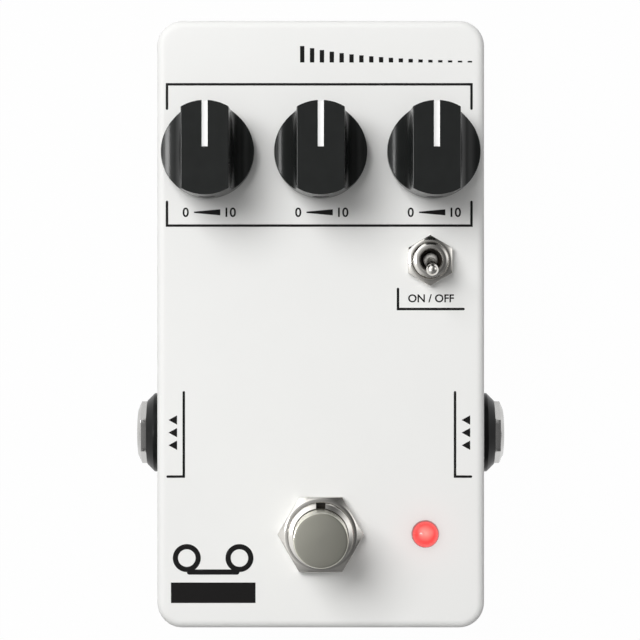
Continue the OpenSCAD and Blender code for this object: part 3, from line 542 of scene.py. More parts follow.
def satin_nickel(made):
    """Satin cap of the foot switch: faint turning marks and small scratches."""
    base = pedal().switch.satin
    mark_pitch = 0.16 * MM
    marks = (made.from_axis(STOMP) * (2 * math.pi / mark_pitch)).sine()
    cloud = made.noise(3.0 * MM, 4.0)
    scratch = (made.noise(0.35 * MM, 2.0, (0.06, 1.0, 1.0)) * 6.0 - 4.2).clamped()
    made.surface({
        "Base Color": made.mix(cloud, tinted(base, 0.95), tinted(base, 1.05)),
        "Metallic": 1.0,
        "Roughness": 0.2 + 0.05 * cloud + 0.06 * scratch,
        "Normal": made.bump(0.4 * marks + made.noise(0.12 * MM, 2.0) - scratch, 0.05, 0.006 * MM),
    })


def zinc_steel(made):
    """Zinc-plated steel of screws and frames."""
    metal(made, (0.56, 0.56, 0.54), 0.26, 0.3 * MM, 0.12, 0.01 * MM)


def brass(made):
    """Turned brass."""
    metal(made, (0.74, 0.53, 0.24), 0.22, 0.25 * MM, 0.1, 0.01 * MM)


def spring_wire(made):
    """Drawn spring wire and leaf springs."""
    metal(made, (0.6, 0.58, 0.54), 0.2, 0.2 * MM, 0.08, 0.008 * MM, (1.0, 1.0, 0.3))


def plain_plastic(made, base, rough, shift, grain_size=0.2 * MM):
    """A moulded plastic, rubber or resin: clouded colour and a fine grain."""
    cloud = made.noise(1.7 * MM, 4.0)
    grain = made.noise(grain_size, 2.0)
    made.surface({
        "Base Color": made.mix(cloud, tinted(base, 1 / shift), tinted(base, shift)),
        "Roughness": rough + 0.12 * grain,
        "Normal": made.bump(grain, 0.2, 0.015 * MM),
    })


def rubber(made):
    """Black rubber of the feet, dusty and matt."""
    dust = (made.noise(1.3 * MM, 5.0) * 2.2 - 0.9).clamped()
    grain = made.noise(0.25 * MM, 2.0)
    made.surface({
        "Base Color": made.mix(dust * 0.5, (0.012, 0.012, 0.012), (0.06, 0.058, 0.055)),
        "Roughness": 0.72 + 0.15 * dust,
        "Normal": made.bump(grain, 0.3, 0.03 * MM),
    })


def solder_mask(made):
    """Green solder mask with fine copper tracks showing through."""
    pitch = 1.27 * MM
    track = ((made.along("X") * (2 * math.pi / pitch)).sine() * 3.0 - 1.6).clamped()
    weave = made.noise(0.5 * MM, 2.0)
    made.surface({
        "Base Color": made.mix(track * 0.6, (0.012, 0.085, 0.035), (0.02, 0.15, 0.06)),
        "Roughness": 0.3 + 0.1 * weave,
        "Normal": made.bump(track + 0.2 * weave, 0.25, 0.03 * MM),
    })


def chip_resin(made):
    """Matt black moulding resin of the chips."""
    plain_plastic(made, (0.014, 0.014, 0.015), 0.58, 1.3, 0.12 * MM)


def aluminium_can(made):
    """Drawn aluminium of the capacitors' cans."""
    metal(made, (0.78, 0.78, 0.78), 0.2, 0.2 * MM, 0.08, 0.01 * MM, (1.0, 1.0, 0.1))


def ceramic(made):
    """Small ceramic components."""
    plain_plastic(made, (0.42, 0.33, 0.22), 0.4, 1.12)


def cable_jacket(made):
    """Grey jacket of the flat cable."""
    plain_plastic(made, (0.36, 0.36, 0.37), 0.5, 1.1)


def header_nylon(made):
    """Ivory nylon of the cable's headers."""
    plain_plastic(made, (0.72, 0.68, 0.56), 0.45, 1.05)


def phenolic(made):
    """Brown laminate of the resistor bodies."""
    plain_plastic(made, (0.13, 0.062, 0.028), 0.5, 1.25)


def red_moulding(made):
    """Red moulding of the toggle's body."""
    plain_plastic(made, (0.4, 0.018, 0.015), 0.38, 1.15)


def blue_moulding(made):
    """Blue moulding of the foot switch's body."""
    plain_plastic(made, (0.014, 0.06, 0.27), 0.4, 1.15)


def lit_lens(made):
    """Lit red lens, glossy outside. Its glow is paler towards its middle, partly the die's glow and partly a
    painted highlight set a little towards +Y; its rim is darkened by painted shade.
    """
    lamp = pedal().lamp
    away = made.from_axis(LAMP) / lamp.radius
    # Painted shade: the lens colour and its glow are darkened near the dome's rim.
    rim = ((away - 0.86) / 0.12).clamped()
    # The paler heart is the die's glow together with a painted highlight, set a little towards +Y.
    heart_place = LAMP + Vector((0, 0.35 * MM, 0))
    die_glow_and_highlight = 1.0 - (made.from_axis(heart_place) / (0.62 * lamp.radius)).clamped()
    cloud = made.noise(0.8 * MM, 3.0)
    lit = made.mix(die_glow_and_highlight * (0.8 + 0.4 * cloud), lamp.glow, lamp.heart_and_highlight)
    made.surface({
        "Base Color": made.mix(rim, lamp.lens, tinted(lamp.lens, 0.3)),
        "Roughness": 0.16 + 0.1 * cloud,
        "Emission Color": made.mix(rim, lit, tinted(lamp.glow, 0.16)),
        "Emission Strength": 1.0,
        "Normal": made.bump(cloud, 0.05, 0.01 * MM),
    })


def ink(made):
    """Screen-printed black ink."""
    film = made.noise(0.3 * MM, 3.0)
    made.surface({
        "Base Color": made.mix(film, pedal().print.ink, tinted(pedal().print.ink, 1.6)),
        "Roughness": 0.46 + 0.14 * film,
        "Specular IOR Level": 0.14,
        "Normal": made.bump(film, 0.1, 0.006 * MM),
    })


FINISHES = {
    "white_paint": powder_coat,
    "black_plastic": knob_plastic,
    "black_washer": black_washer,
    "white_fill": white_fill,
    "nickel": bright_nickel,
    "satin_nickel": satin_nickel,
    "jack_nickel": jack_nickel,
    "bat_nickel": bat_nickel,
    "toggle_nickel": toggle_nickel,
    "stomp_nickel": stomp_nickel,
    "steel": zinc_steel,
    "brass": brass,
    "rubber": rubber,
    "board": solder_mask,
    "chip": chip_resin,
    "can": aluminium_can,
    "ceramic": ceramic,
    "cable": cable_jacket,
    "header": header_nylon,
    "phenolic": phenolic,
    "red_body": red_moulding,
    "blue_body": blue_moulding,
    "red_lens": lit_lens,
    "spring_wire": spring_wire,
    "ink": ink,
}


def new_material(name):
    """A material whose nodes are still to be made."""
    material = bpy.data.materials.new(name)
    material.use_nodes = True
    return material


def finish(name):
    """The material of a finish, made when it is first asked for."""
    label = "finish_" + name
    if label not in bpy.data.materials:
        FINISHES[name](NodeTree(new_material(label).node_tree))
    return bpy.data.materials[label]


def circle(radius, height, steps, turn=0.0):
    """Points of a level circle."""
    angles = [turn + 2 * math.pi * k / steps for k in range(steps)]
    return [Vector((radius * math.cos(a), radius * math.sin(a), height)) for a in angles]


def arc(centre, radius, start, end, steps):
    """Points (x, y) of an arc from one angle to another, in degrees."""
    angles = [math.radians(start + (end - start) * k / steps) for k in range(steps + 1)]
    return [(centre[0] + radius * math.cos(a), centre[1] + radius * math.sin(a)) for a in angles]


def raised(outline, height):
    """Points (x, y) of an outline, put at a height."""
    return [Vector((x, y, height)) for x, y in outline]


def rounded_rectangle(half_x, half_y, radius, height, steps=14):
    """Points of a level rectangle with round corners."""
    points = []
    for quarter, (side_x, side_y) in enumerate(CORNERS):
        centre = (side_x * (half_x - radius), side_y * (half_y - radius))
        points += arc(centre, radius, 90 * quarter, 90 * quarter + 90, steps)
    return raised(points, height)


def skin(rings, loop=False, caps=False):
    """Joins rings of points into one closed shape. A ring of one point is a pole."""
    shape = bmesh.new()
    levels = [[shape.verts.new(point) for point in points] for points in rings]
    pairs = list(zip(levels, levels[1:]))
    if loop:
        pairs.append((levels[-1], levels[0]))
    for low, high in pairs:
        count = max(len(low), len(high))
        for k in range(count):
            after = (k + 1) % count
            corners = [
                low[k % len(low)], low[after % len(low)], high[after % len(high)], high[k % len(high)],
            ]
            shape.faces.new(list(dict.fromkeys(corners)))
    if caps:
        shape.faces.new(levels[0])
        shape.faces.new(levels[-1])
    bmesh.ops.recalc_face_normals(shape, faces=shape.faces)
    return shape


def rounded_path(corners, steps=5):
    """Follows (radius, height, rounding) corners and rounds each of them."""
    path = []
    for k, (radius, height, rounding) in enumerate(corners):
        here = Vector((radius, height))
        if rounding == 0:
            path.append(here)
            continue
        before = (Vector(corners[k - 1][:2]) - here).normalized()
        after = (Vector(corners[(k + 1) % len(corners)][:2]) - here).normalized()
        half = before.angle(after) / 2
        centre = here + (before + after).normalized() * (rounding / math.sin(half))
        start = here + before * (rounding / math.tan(half)) - centre
        end = here + after * (rounding / math.tan(half)) - centre
        sweep = start.angle_signed(end)
        for step in range(steps + 1):
            path.append(centre + Matrix.Rotation(-sweep * step / steps, 2) @ start)
    return path


def turned(path, steps, loop=False):
    """Turns a path of (radius, height) about Z."""
    rings = []
    for radius, height in path:
        rings.append(circle(radius, height, steps) if radius > TINY else [UP * height])
    return skin(rings, loop)


def moved(shape, matrix):
    """Moves a shape."""
    bmesh.ops.transform(shape, matrix=matrix, verts=shape.verts)
    return shape


def level(point, height):
    """The place over or under a point at a height."""
    return Vector((point.x, point.y, height))


def at(point, height):
    """A move to the place over or under a point at a height."""
    return Matrix.Translation(level(point, height))


def rod(radius, start, end, steps=72):
    """A plain round bar from one point to another, for cutting holes."""
    along = end - start
    shape = turned([(0, 0), (radius, 0), (radius, along.length), (0, along.length)], steps)
    return moved(shape, Matrix.Translation(start) @ UP.rotation_difference(along).to_matrix().to_4x4())


def prism(outline, low, high):
    """A flat outline of (x, y) given a height."""
    return skin([raised(outline, low), raised(outline, high)], caps=True)


def joined(shapes):
    """Several shapes as one."""
    whole = bmesh.new()
    for shape in shapes:
        part = bpy.data.meshes.new("part")
        shape.to_mesh(part)
        shape.free()
        whole.from_mesh(part)
        bpy.data.meshes.remove(part)
    return whole


def linked(name, data):
    """A new object in the scene, at the origin."""
    piece = bpy.data.objects.new(name, data)
    bpy.context.scene.collection.objects.link(piece)
    return piece


def new_object(name, shape):
    """Puts a shape in the scene as an object."""
    mesh = bpy.data.meshes.new(name)
    shape.to_mesh(mesh)
    shape.free()
    return linked(name, mesh)


def add_shape(piece, shape):
    """Adds a closed shape to a piece's mesh."""
    shape.from_mesh(piece.data)
    shape.to_mesh(piece.data)
    shape.free()


def evaluated(piece):
    """A plain mesh of an object with its modifiers."""
    bpy.context.view_layer.update()
    graph = bpy.context.evaluated_depsgraph_get()
    return bpy.data.meshes.new_from_object(piece.evaluated_get(graph))


def bake(piece):
    """Turns a piece and its modifiers into one plain mesh."""
    rough = piece.data
    piece.data = evaluated(piece)
    piece.modifiers.clear()
    piece.data.name = piece.name
    bpy.data.meshes.remove(rough)


def carve(piece, shape, operation="DIFFERENCE"):
    """Cuts a shape out of a piece, or adds it."""
    tool = new_object("tool", shape)
    cut = piece.modifiers.new("Carve", "BOOLEAN")
    cut.operation = operation
    cut.solver = "EXACT"
    cut.object = tool
    bake(piece)
    mesh = tool.data
    bpy.data.objects.remove(tool)
    bpy.data.meshes.remove(mesh)


def smooth(piece, angle, edge=0.0):
    """Shades a piece smoothly up to an angle in degrees. Sharper edges stay, or are rounded by a width."""
    limit = math.radians(angle)
    piece.data.shade_smooth()
    if edge:
        bevel = piece.modifiers.new("Edge", "BEVEL")
        bevel.width = edge
        bevel.segments = 2
        bevel.limit_method = "ANGLE"
        bevel.angle_limit = limit
    else:
        piece.data.set_sharp_from_angle(angle=limit)
    weights = piece.modifiers.new("Normals", "WEIGHTED_NORMAL")
    weights.keep_sharp = True
    bake(piece)


def coat(piece, name):
    """Gives a piece one finish."""
    piece.data.materials.clear()
    piece.data.materials.append(finish(name))


def dress(piece, node, look=None):
    """Lets a piece stand in for a CAD node, which it hides: it rides on the node's body and takes a finish,
    the slot's own unless another is named.
    """
    slot = SLOTS[node]
    coat(piece, look or slot)
    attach(piece, frame["nodes"][node]["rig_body"])
    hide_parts(node)


def new_tree(name, inputs):
    """A Geometry Nodes tree with named inputs and a mesh output, and the fields of its inputs."""
    tree = bpy.data.node_groups.new(name, "GeometryNodeTree")
    tree.interface.new_socket("Mesh", in_out="OUTPUT", socket_type="NodeSocketGeometry")
    for label, kind in inputs.items():
        tree.interface.new_socket(label, in_out="INPUT", socket_type="NodeSocket" + kind)
    made = NodeTree(tree)
    source = tree.nodes.new("NodeGroupInput")
    return made, {socket.name: Field(made, socket) for socket in source.outputs if socket.name}


def end_tree(made, geometry, material):
    """Ends a tree in Realize Instances and Set Material."""
    real = made.node("GeometryNodeRealizeInstances", None, {"Geometry": geometry})
    coated = made.node("GeometryNodeSetMaterial", None, {"Geometry": real, "Material": material})
    made.node("NodeGroupOutput", None, {0: coated})


def corner_set_tree():
    """Sets one part at the four corners of a level rectangle."""
    made, given = new_tree("Corner set", {
        "Part": "Object", "Span X": "Float", "Span Y": "Float", "Height": "Float", "Finish": "Material",
    })
    corners = made.node("GeometryNodeMeshGrid", None, {
        "Size X": given["Span X"], "Size Y": given["Span Y"], "Vertices X": 2, "Vertices Y": 2,
    })
    lift = made.node("ShaderNodeCombineXYZ", None, {"Z": given["Height"]})
    places = made.node("GeometryNodeSetPosition", None, {"Geometry": corners, "Offset": lift})
    part = made.node("GeometryNodeObjectInfo", None, {"Object": given["Part"]}, output="Geometry")
    copies = made.node("GeometryNodeInstanceOnPoints", None, {"Points": places, "Instance": part})
    end_tree(made, copies, given["Finish"])
    return made.tree


def fading_row_tree():
    """A row of bars, each lower than the one before."""
    made, given = new_tree("Fading row", {
        "Count": "Int", "Pitch": "Float", "Width": "Float", "Tall": "Float", "Fade": "Float",
        "Thickness": "Float", "Start": "Vector", "Finish": "Material",
    })
    step = made.node("ShaderNodeCombineXYZ", None, {"X": given["Pitch"]})
    points = made.node("GeometryNodeMeshLine", None, {
        "Count": given["Count"], "Start Location": given["Start"], "Offset": step,
    })
    size = made.node("ShaderNodeCombineXYZ", None, {
        "X": given["Width"], "Y": given["Tall"], "Z": given["Thickness"],
    })
    block = made.node("GeometryNodeMeshCube", None, {"Size": size})
    half = made.node("ShaderNodeCombineXYZ", None, {"Y": given["Tall"] * 0.5})
    bar = made.node("GeometryNodeTransform", None, {"Geometry": block, "Translation": half})
    index = made.node("GeometryNodeInputIndex")
    shrink = made.node("ShaderNodeCombineXYZ", None, {"X": 1.0, "Y": given["Fade"] ** index, "Z": 1.0})
    copies = made.node("GeometryNodeInstanceOnPoints", None, {
        "Points": points, "Instance": bar, "Scale": shrink,
    })
    end_tree(made, copies, given["Finish"])
    return made.tree


def coil_tree():
    """A wire wound to an open coil."""
    made, given = new_tree("Coil", {
        "Turns": "Float", "Radius": "Float", "Wire": "Float", "Tall": "Float", "Place": "Vector",
        "Finish": "Material",
    })
    path = made.node("GeometryNodeCurveSpiral", None, {
        "Resolution": 40, "Rotations": given["Turns"], "Start Radius": given["Radius"],
        "End Radius": given["Radius"], "Height": given["Tall"],
    })
    section = made.node("GeometryNodeCurvePrimitiveCircle", {"mode": "RADIUS"}, {
        "Resolution": 14, "Radius": given["Wire"],
    }, output="Curve")
    wire = made.node("GeometryNodeCurveToMesh", None, {
        "Curve": path, "Profile Curve": section, "Fill Caps": True,
    })
    placed = made.node("GeometryNodeTransform", None, {"Geometry": wire, "Translation": given["Place"]})
    end_tree(made, placed, given["Finish"])
    return made.tree


def from_tree(name, tree, values):
    """Runs a Geometry Nodes tree and keeps its result as a plain mesh."""
    piece = new_object(name, bmesh.new())
    nodes = piece.modifiers.new("Nodes", "NODES")
    nodes.node_group = tree
    for item in tree.interface.items_tree:
        if item.item_type == "SOCKET" and item.in_out == "INPUT":
            nodes[item.identifier] = values[item.name]
    bake(piece)
    return piece


def hex_nut(flats, thick, hole, face, slope, shoulder=None, lead=0.09 * MM):
    """A hexagon nut on z = 0 with a corner towards +X, its top turned to a round, faintly coned face.

    Its flats end on a cone of a slope, or all at one height where a shoulder is given.
    """
    crown = 0.16
    steps = 60
    rim = thick - crown * (face - hole - lead)
    rings = [[] for _ in range(7)]
    for k in range(steps):
        angle = 2 * math.pi * k / steps
        out = Vector((math.cos(angle), math.sin(angle), 0))
        side = flats / 2 / math.cos(angle % (math.pi / 3) - math.pi / 6)
        end = shoulder or rim - (side - face) * slope
        levels = (
            (hole + lead, 0), (side, 0), (side, end), (face, rim),
            (hole + lead, thick), (hole, thick - lead), (hole, lead),
        )
        for points, (radius, height) in zip(rings, levels):
            points.append(out * radius + UP * height)
    return skin(rings, loop=True)


def threaded_tube(radius, pitch, low, high, lead, flare, bore, inside, lip=0.15 * MM):
    """A threaded bushing, its end coned by a flare over a height of lead and its mouth by a lip.

    Under the mouth, its bore follows the (radius, height) steps of inside down to low.
    """
    steps = 96
    rows_per_turn = 10
    steepness = 1.3
    depth = 0.5 * pitch
    rows = math.ceil((high - low) / pitch * rows_per_turn)
    rings = []
    for row in range(rows + 1):
        height = low + (high - low) * row / rows
        fade = min(1.0, (height - low) / pitch, max(0.0, (high - lead - height) / pitch))
        points = []
        for k in range(steps):
            wave = abs(((height / pitch - k / steps) % 1.0) * 2 - 1)
            wave = min(1.0, max(0.0, (wave - 0.5) * steepness + 0.5))
            here = radius - depth * wave * fade - flare * max(0.0, height - (high - lead))
            angle = 2 * math.pi * k / steps
            points.append(Vector((here * math.cos(angle), here * math.sin(angle), height)))
        rings.append(points)
    rings += [circle(*step, steps) for step in [(bore + lip, high), (bore, high - lip)] + inside]
    return skin(rings, loop=True)


def flange(half, corner, hole, low, high):
    """A level plate with round corners and a round hole."""
    steps = 11
    count = 4 * (steps + 1)
    turn = math.pi / 4 - math.pi / count * steps
    return skin([
        rounded_rectangle(half.x, half.y, corner, low, steps),
        rounded_rectangle(half.x, half.y, corner, high, steps),
        circle(hole, high, count, turn),
        circle(hole, low, count, turn),
    ], loop=True)


def case_outline(inset, radius, height):
    """A level section of the box or its cover, set in from the widest outline."""
    half = (SHELL_HIGH - SHELL_LOW) / 2
    return rounded_rectangle(half.x - inset, half.y - inset, radius, height)


def screw_spot(case):
    """Middle of the cover screw in the corner at +X and +Y."""
    return SCREW_HIGH - Vector((case.screw_head, case.screw_head, 0))


def case_walls(case):
    """The hollow box without its holes, open at the seam."""
    corner = case.corner_radius
    inner = corner - case.wall
    edge = case.edge_radius
    rings = [
        case_outline(case.wall + case.draft, inner, FACE - case.wall),
        case_outline(case.wall, inner, SEAM),
        case_outline(case.seam_break, corner, SEAM),
        case_outline(0, corner, SEAM + case.seam_break),
        case_outline(0, corner, SEAM + case.rim),
    ]
    for drop, height in arc((edge, FACE - edge), edge, 180, 90, 10):
        rings.append(case_outline(case.draft + drop, corner - drop, height))
    flat = edge + EDGE_BAND
    rings.append(case_outline(case.draft + flat, corner - flat, FACE))
    return skin(rings, caps=True)


def case_holes(settings):
    """What is cut from the box for the dials, the switches, the lamp, the jacks and the power socket."""
    case = settings.case
    half = (SHELL_HIGH - SHELL_LOW) / 2
    over = 3 * MM
    holes = [(middle(side + "_shaft"), case.shaft_hole) for side in DIALS]
    holes += [
        (TOGGLE, settings.switch.toggle_thread + case.clearance),
        (STOMP, settings.switch.stomp_thread + case.clearance),
        (LAMP, case.lamp_hole),
    ]
    tools = []
    for place, radius in holes:
        tools.append(rod(radius, level(place, FACE - case.wall - over), level(place, FACE + over)))
    for side in (-1, 1):
        start = Vector((side * (half.x - case.wall - over), JACK.y, JACK.z))
        end = Vector((side * (half.x + over), JACK.y, JACK.z))
        tools.append(rod(settings.jack.thread + case.clearance, start, end))
    start = Vector((SOCKET.x, half.y - case.wall - over, SOCKET.z))
    end = Vector((SOCKET.x, half.y + over, SOCKET.z))
    tools.append(rod(case.socket_hole, start, end))
    return joined(tools)


def build_case(settings):
    """The painted box: drafted walls, a rounded face edge, screw posts and every hole."""
    case = settings.case
    piece = new_object("case_box", case_walls(case))
    spot = screw_spot(case)
    top = FACE - case.wall / 2
    posts = []
    for side_x, side_y in CORNERS:
        foot = Vector((side_x * spot.x, side_y * spot.y, SEAM))
        posts.append(rod(case.screw_post, foot, level(foot, top), 32))
    carve(piece, joined(posts), "UNION")
    carve(piece, case_holes(settings))
    smooth(piece, 50, edge=0.12 * MM)
    dress(piece, "case_shell")


def cover_plate(case, under):
    """The cover without its holes: a rounded plate with a lip that fits into the box."""
    corner = case.corner_radius
    edge = case.cover_edge
    flat = edge + EDGE_BAND
    rings = [case_outline(flat, corner - flat, under)]
    for drop, height in arc((edge, under + edge), edge, 270, 180, 8):
        rings.append(case_outline(drop, corner - drop, height))
    lip = case.wall + case.lip_gap
    lip_inside = lip + case.lip_wall
    lip_top = SEAM + case.lip_height
    rings += [
        case_outline(0, corner, SEAM - case.seam_break),
        case_outline(case.seam_break, corner, SEAM),
        case_outline(lip, corner - lip, SEAM),
        case_outline(lip, corner - lip, lip_top),
        case_outline(lip_inside, case.lip_corner, lip_top),
        case_outline(lip_inside, case.lip_corner, SEAM),
    ]
    return skin(rings, caps=True)


def countersink(case):
    """What a cover screw's hole cuts away, upwards from the cover's underside at z = 0."""
    gap = 0.12 * MM
    head = case.screw_head + gap
    shank = case.screw_shank + gap
    cone_top = case.screw_sink + 0.1 * MM
    low = -1 * MM
    high = 8 * MM
    path = [(0, low), (head, low), (head, case.screw_rim), (shank, cone_top), (shank, high), (0, high)]
    return turned(path, 48)


def cover_screw(case):
    """A countersunk screw with a cross slot, its head at z = 0 and its thread upwards."""
    head = case.screw_head
    shank = case.screw_shank
    sunk = 0.05 * MM
    taper = 0.6 * MM
    tip = 1.2 * MM
    path = rounded_path([
        (0, sunk, 0), (head, sunk, 0.12 * MM), (head, case.screw_rim, 0.05 * MM),
        (shank, case.screw_sink, 0), (shank, case.screw_length - taper, 0),
        (tip, case.screw_length, 0), (0, case.screw_length, 0),
    ], 3)
    screw = new_object("screw", turned(path, 40))
    # Half length, half width, corner radius and height of the slot's mouth and of its floor.
    mouth = (1.75 * MM, 0.42 * MM, 0.15 * MM, -0.2 * MM)
    floor = (0.8 * MM, 0.3 * MM, 0.12 * MM, 1.5 * MM)
    for turn in (45, 135):
        blade = skin([rounded_rectangle(*mouth, steps=3), rounded_rectangle(*floor, steps=3)], caps=True)
        carve(screw, moved(blade, Matrix.Rotation(math.radians(turn), 4, "Z")))
    smooth(screw, 30)
    return screw


def rubber_foot(case):
    """A round foot on z = 0, slightly hollow underneath."""
    radius = case.foot_radius
    tall = case.foot_height
    hollow = 0.3 * MM
    foot = new_object("foot", turned(rounded_path([
        (0, hollow + 0.05 * MM, 0), (radius - 2.55 * MM, hollow, 0.6 * MM),
        (radius - 1.65 * MM, 0, 0.5 * MM), (radius - 0.3 * MM, 0, 0.7 * MM), (radius, tall, 0), (0, tall, 0),
    ]), 64))
    smooth(foot, 50)
    return foot


def build_base(settings):
    """The cover with its lip, its countersunk screws and its rubber feet."""
    case = settings.case
    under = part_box("base_plate")[0].z
    spot = screw_spot(case)
    piece = new_object("base_cover", cover_plate(case, under))
    tools = []
    for side_x, side_y in CORNERS:
        place = Matrix.Translation((side_x * spot.x, side_y * spot.y, under))
        tools.append(moved(countersink(case), place))
    carve(piece, joined(tools))
    smooth(piece, 50, edge=0.1 * MM)
    dress(piece, "base_plate")

    foot_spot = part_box("rubber_feet")[1] - Vector((case.foot_radius, case.foot_radius, 0))
    tree = corner_set_tree()
    for name, part, node, reach, height in (
        ("cover_screws", cover_screw(case), "base_screws", spot, under),
        ("feet", rubber_foot(case), "rubber_feet", foot_spot, 0.0),
    ):
        piece = from_tree(name, tree, {
            "Part": part, "Span X": 2 * reach.x, "Span Y": 2 * reach.y, "Height": height,
            "Finish": finish(SLOTS[node]),
        })
        dress(piece, node)
        bpy.data.objects.remove(part)


def wall_radius(knob, radius, tall, height):
    """Radius of the knob's round wall at a height."""
    return radius - knob.draft * height / tall


def knob_profile(knob, radius, tall):
    """Half of the knob's section from its rim to the middle of its bar, as (x, z) points."""
    half = knob.bar_width / 2
    foot = half + knob.bar_draft
    bend = knob.scoop_radius
    centre = Vector((foot + bend, knob.rim_height + bend))
    rim = wall_radius(knob, radius, tall, knob.rim_height)
    lowest = math.acos((centre.x - rim) / bend)
    top = knob.bar_edge
    points = []
    steps = 34
    for k in range(steps + 1):
        angle = lowest * (1 - (k / steps) ** 2)
        points.append((centre.x - bend * math.cos(angle), centre.y - bend * math.sin(angle)))
    for part in (k / 6 for k in range(1, 7)):
        points.append((foot - knob.bar_draft * part, centre.y + (tall - top - centre.y) * part))
    points += arc((half - top, tall - top), top, 0, 90, 5)[1:]
    points += [((half - top) * (1 - k / 8), tall) for k in range(1, 9)]
    return points


def knob_lips(knob, radius, tall):
    """Rounded edges between the knob's top and its wall: a short curve at each point of its section."""
    right = knob_profile(knob, radius, tall)
    section = right + [(-x, z) for x, z in reversed(right[:-1])]
    last = len(section) - 1
    rims = []
    for x, z in section:
        here = wall_radius(knob, radius, tall, z)
        rims.append(Vector((x, math.sqrt(max(0.0, here * here - x * x)), z)))
    steps = 4
    lips = []
    for k, rim in enumerate(rims):
        before = rims[k - 1] if k else MIRROR_Y @ rims[1]
        after = rims[k + 1] if k < last else MIRROR_Y @ rims[last - 1]
        along = (after - before).normalized()
        x0, z0 = section[max(0, k - 1)]
        x1, z1 = section[min(last, k + 1)]
        up = Vector((z1 - z0, 0, x0 - x1)).normalized()
        out = level(rim, 0).normalized()
        inward = up.cross(along)
        inward *= math.copysign(1, -inward.dot(out))
        down = out.cross(along)
        down *= math.copysign(1, -down.dot(up))
        start = rim + inward * knob.edge
        end = rim + down * knob.edge
        end = level(level(end, 0).normalized() * wall_radius(knob, radius, tall, end.z), end.z)
        if k in (0, last):
            rim.y = 0
            start.y = 0
            end.y = 0
        lips.append([
            (1 - t) * (1 - t) * start + 2 * t * (1 - t) * rim + t * t * end
            for t in (step / steps for step in range(steps + 1))
        ])
    return lips


def knob_shape(knob, radius, tall):
    """A pointer knob on z = 0: a round body with a scoop on each side of its bar."""
    lips = knob_lips(knob, radius, tall)
    outs = [level(lip[-1], 0).normalized() for lip in lips]

    def wall(distance, height):
        return [out * distance + UP * height for out in outs]

    chamfer = 0.3 * MM
    front = [list(points) for points in zip(*lips)]
    front += [
        wall(radius, chamfer), wall(radius - chamfer, 0), wall(knob.hollow, 0),
        wall(knob.hollow, knob.hollow_depth), wall(knob.bore, knob.hollow_depth),
        wall(knob.bore, knob.bore_depth),
    ]
    rings = [half + [MIRROR_Y @ point for point in reversed(half[1:-1])] for half in front]
    rings.append([UP * knob.bore_depth])
    shape = skin(rings)
    # The top is closed by strips from the front edge to the rear one.
    shape.verts.ensure_lookup_table()
    count = len(rings[0])
    first = shape.verts[:count]
    for k in range(len(lips) - 1):
        corners = [first[k], first[k + 1], first[(count - k - 1) % count], first[(count - k) % count]]
        shape.faces.new(list(dict.fromkeys(corners)))
    bmesh.ops.recalc_face_normals(shape, faces=shape.faces)
    return shape


def line_outline(knob, radius, tall, offset):
    """Section of the knob's line along its middle, as (y, z) points, sunk by an offset."""
    bend = knob.edge
    edge = radius - knob.draft - offset
    high = tall - offset
    start = 0.12 * MM
    foot = wall_radius(knob, radius, tall, knob.line_foot) - offset
    floor = tall - knob.line_depth
    within = radius - knob.draft - knob.line_depth
    outer = [(start, high)] + arc((edge - bend, high - bend), bend, 90, 0, 6)
    return outer + [(foot, knob.line_foot), (within, knob.line_foot), (within, floor), (start, floor)]


def line_shape(knob, radius, tall):
    """The knob's white line: paint that lies hollow in its groove, along the top and down the wall."""
    half = knob.line_width / 2
    side_sunk = 0.02 * MM
    middle_sunk = 0.15 * MM
    rings = []
    steps = 8
    for k in range(steps + 1):
        part = 2 * k / steps - 1
        sunk = middle_sunk + (side_sunk - middle_sunk) * part * part
        rings.append([Vector((part * half, y, z)) for y, z in line_outline(knob, radius, tall, sunk)])
    return skin(rings, caps=True)


def groove_shape(knob, radius, tall):
    """The groove that holds a knob's line, standing out of the surface so that it cuts cleanly."""
    half = knob.line_width / 2
    over = 0.4 * MM
    outline = line_outline(knob, radius, tall, -over)
    return skin([[Vector((x, y, z)) for y, z in outline] for x in (-half, half)], caps=True)


def build_knobs(settings):
    """Three moulded pointer knobs, each with its white line and its set screw's hole."""
    knob = settings.knob
    for side in DIALS:
        low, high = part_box(side + "_knob")
        radius = (high.x - low.x) / 2
        tall = high.z - low.z
        place = at(middle(side + "_knob"), low.z)
        piece = new_object("knob_" + side, moved(knob_shape(knob, radius, tall), place))
        screw = middle(side + "_set_screw")
        over = 1.0 * MM
        start = Vector((screw.x, low.y - over, screw.z))
        end = Vector((screw.x, screw.y + over, screw.z))
        carve(piece, rod(knob.screw_hole, start, end, 40))
        carve(piece, moved(groove_shape(knob, radius, tall), place))
        smooth(piece, 38)
        dress(piece, side + "_knob")
        line = new_object("line_" + side, moved(line_shape(knob, radius, tall), place))
        smooth(line, 50)
        dress(line, side + "_pointer")


def toggle_bore(switch, foot):
    """Steps of the toggle's bore under its mouth: a cone, a bowl for the ball and room for the tail."""
    pivot = BAT_PIVOT[2]
    bowl = switch.bat_ball + 0.05 * MM
    cone_top = pivot + 1.4 * MM
    throat = (1.2 * MM, pivot - 1.0 * MM)
    tail_top = pivot - 2.2 * MM
    steps = [(switch.toggle_mouth, cone_top)] + arc((0, pivot), bowl, 0, -35, 5)
    return steps + [throat, (TAIL_BORE, tail_top), (TAIL_BORE, foot)]


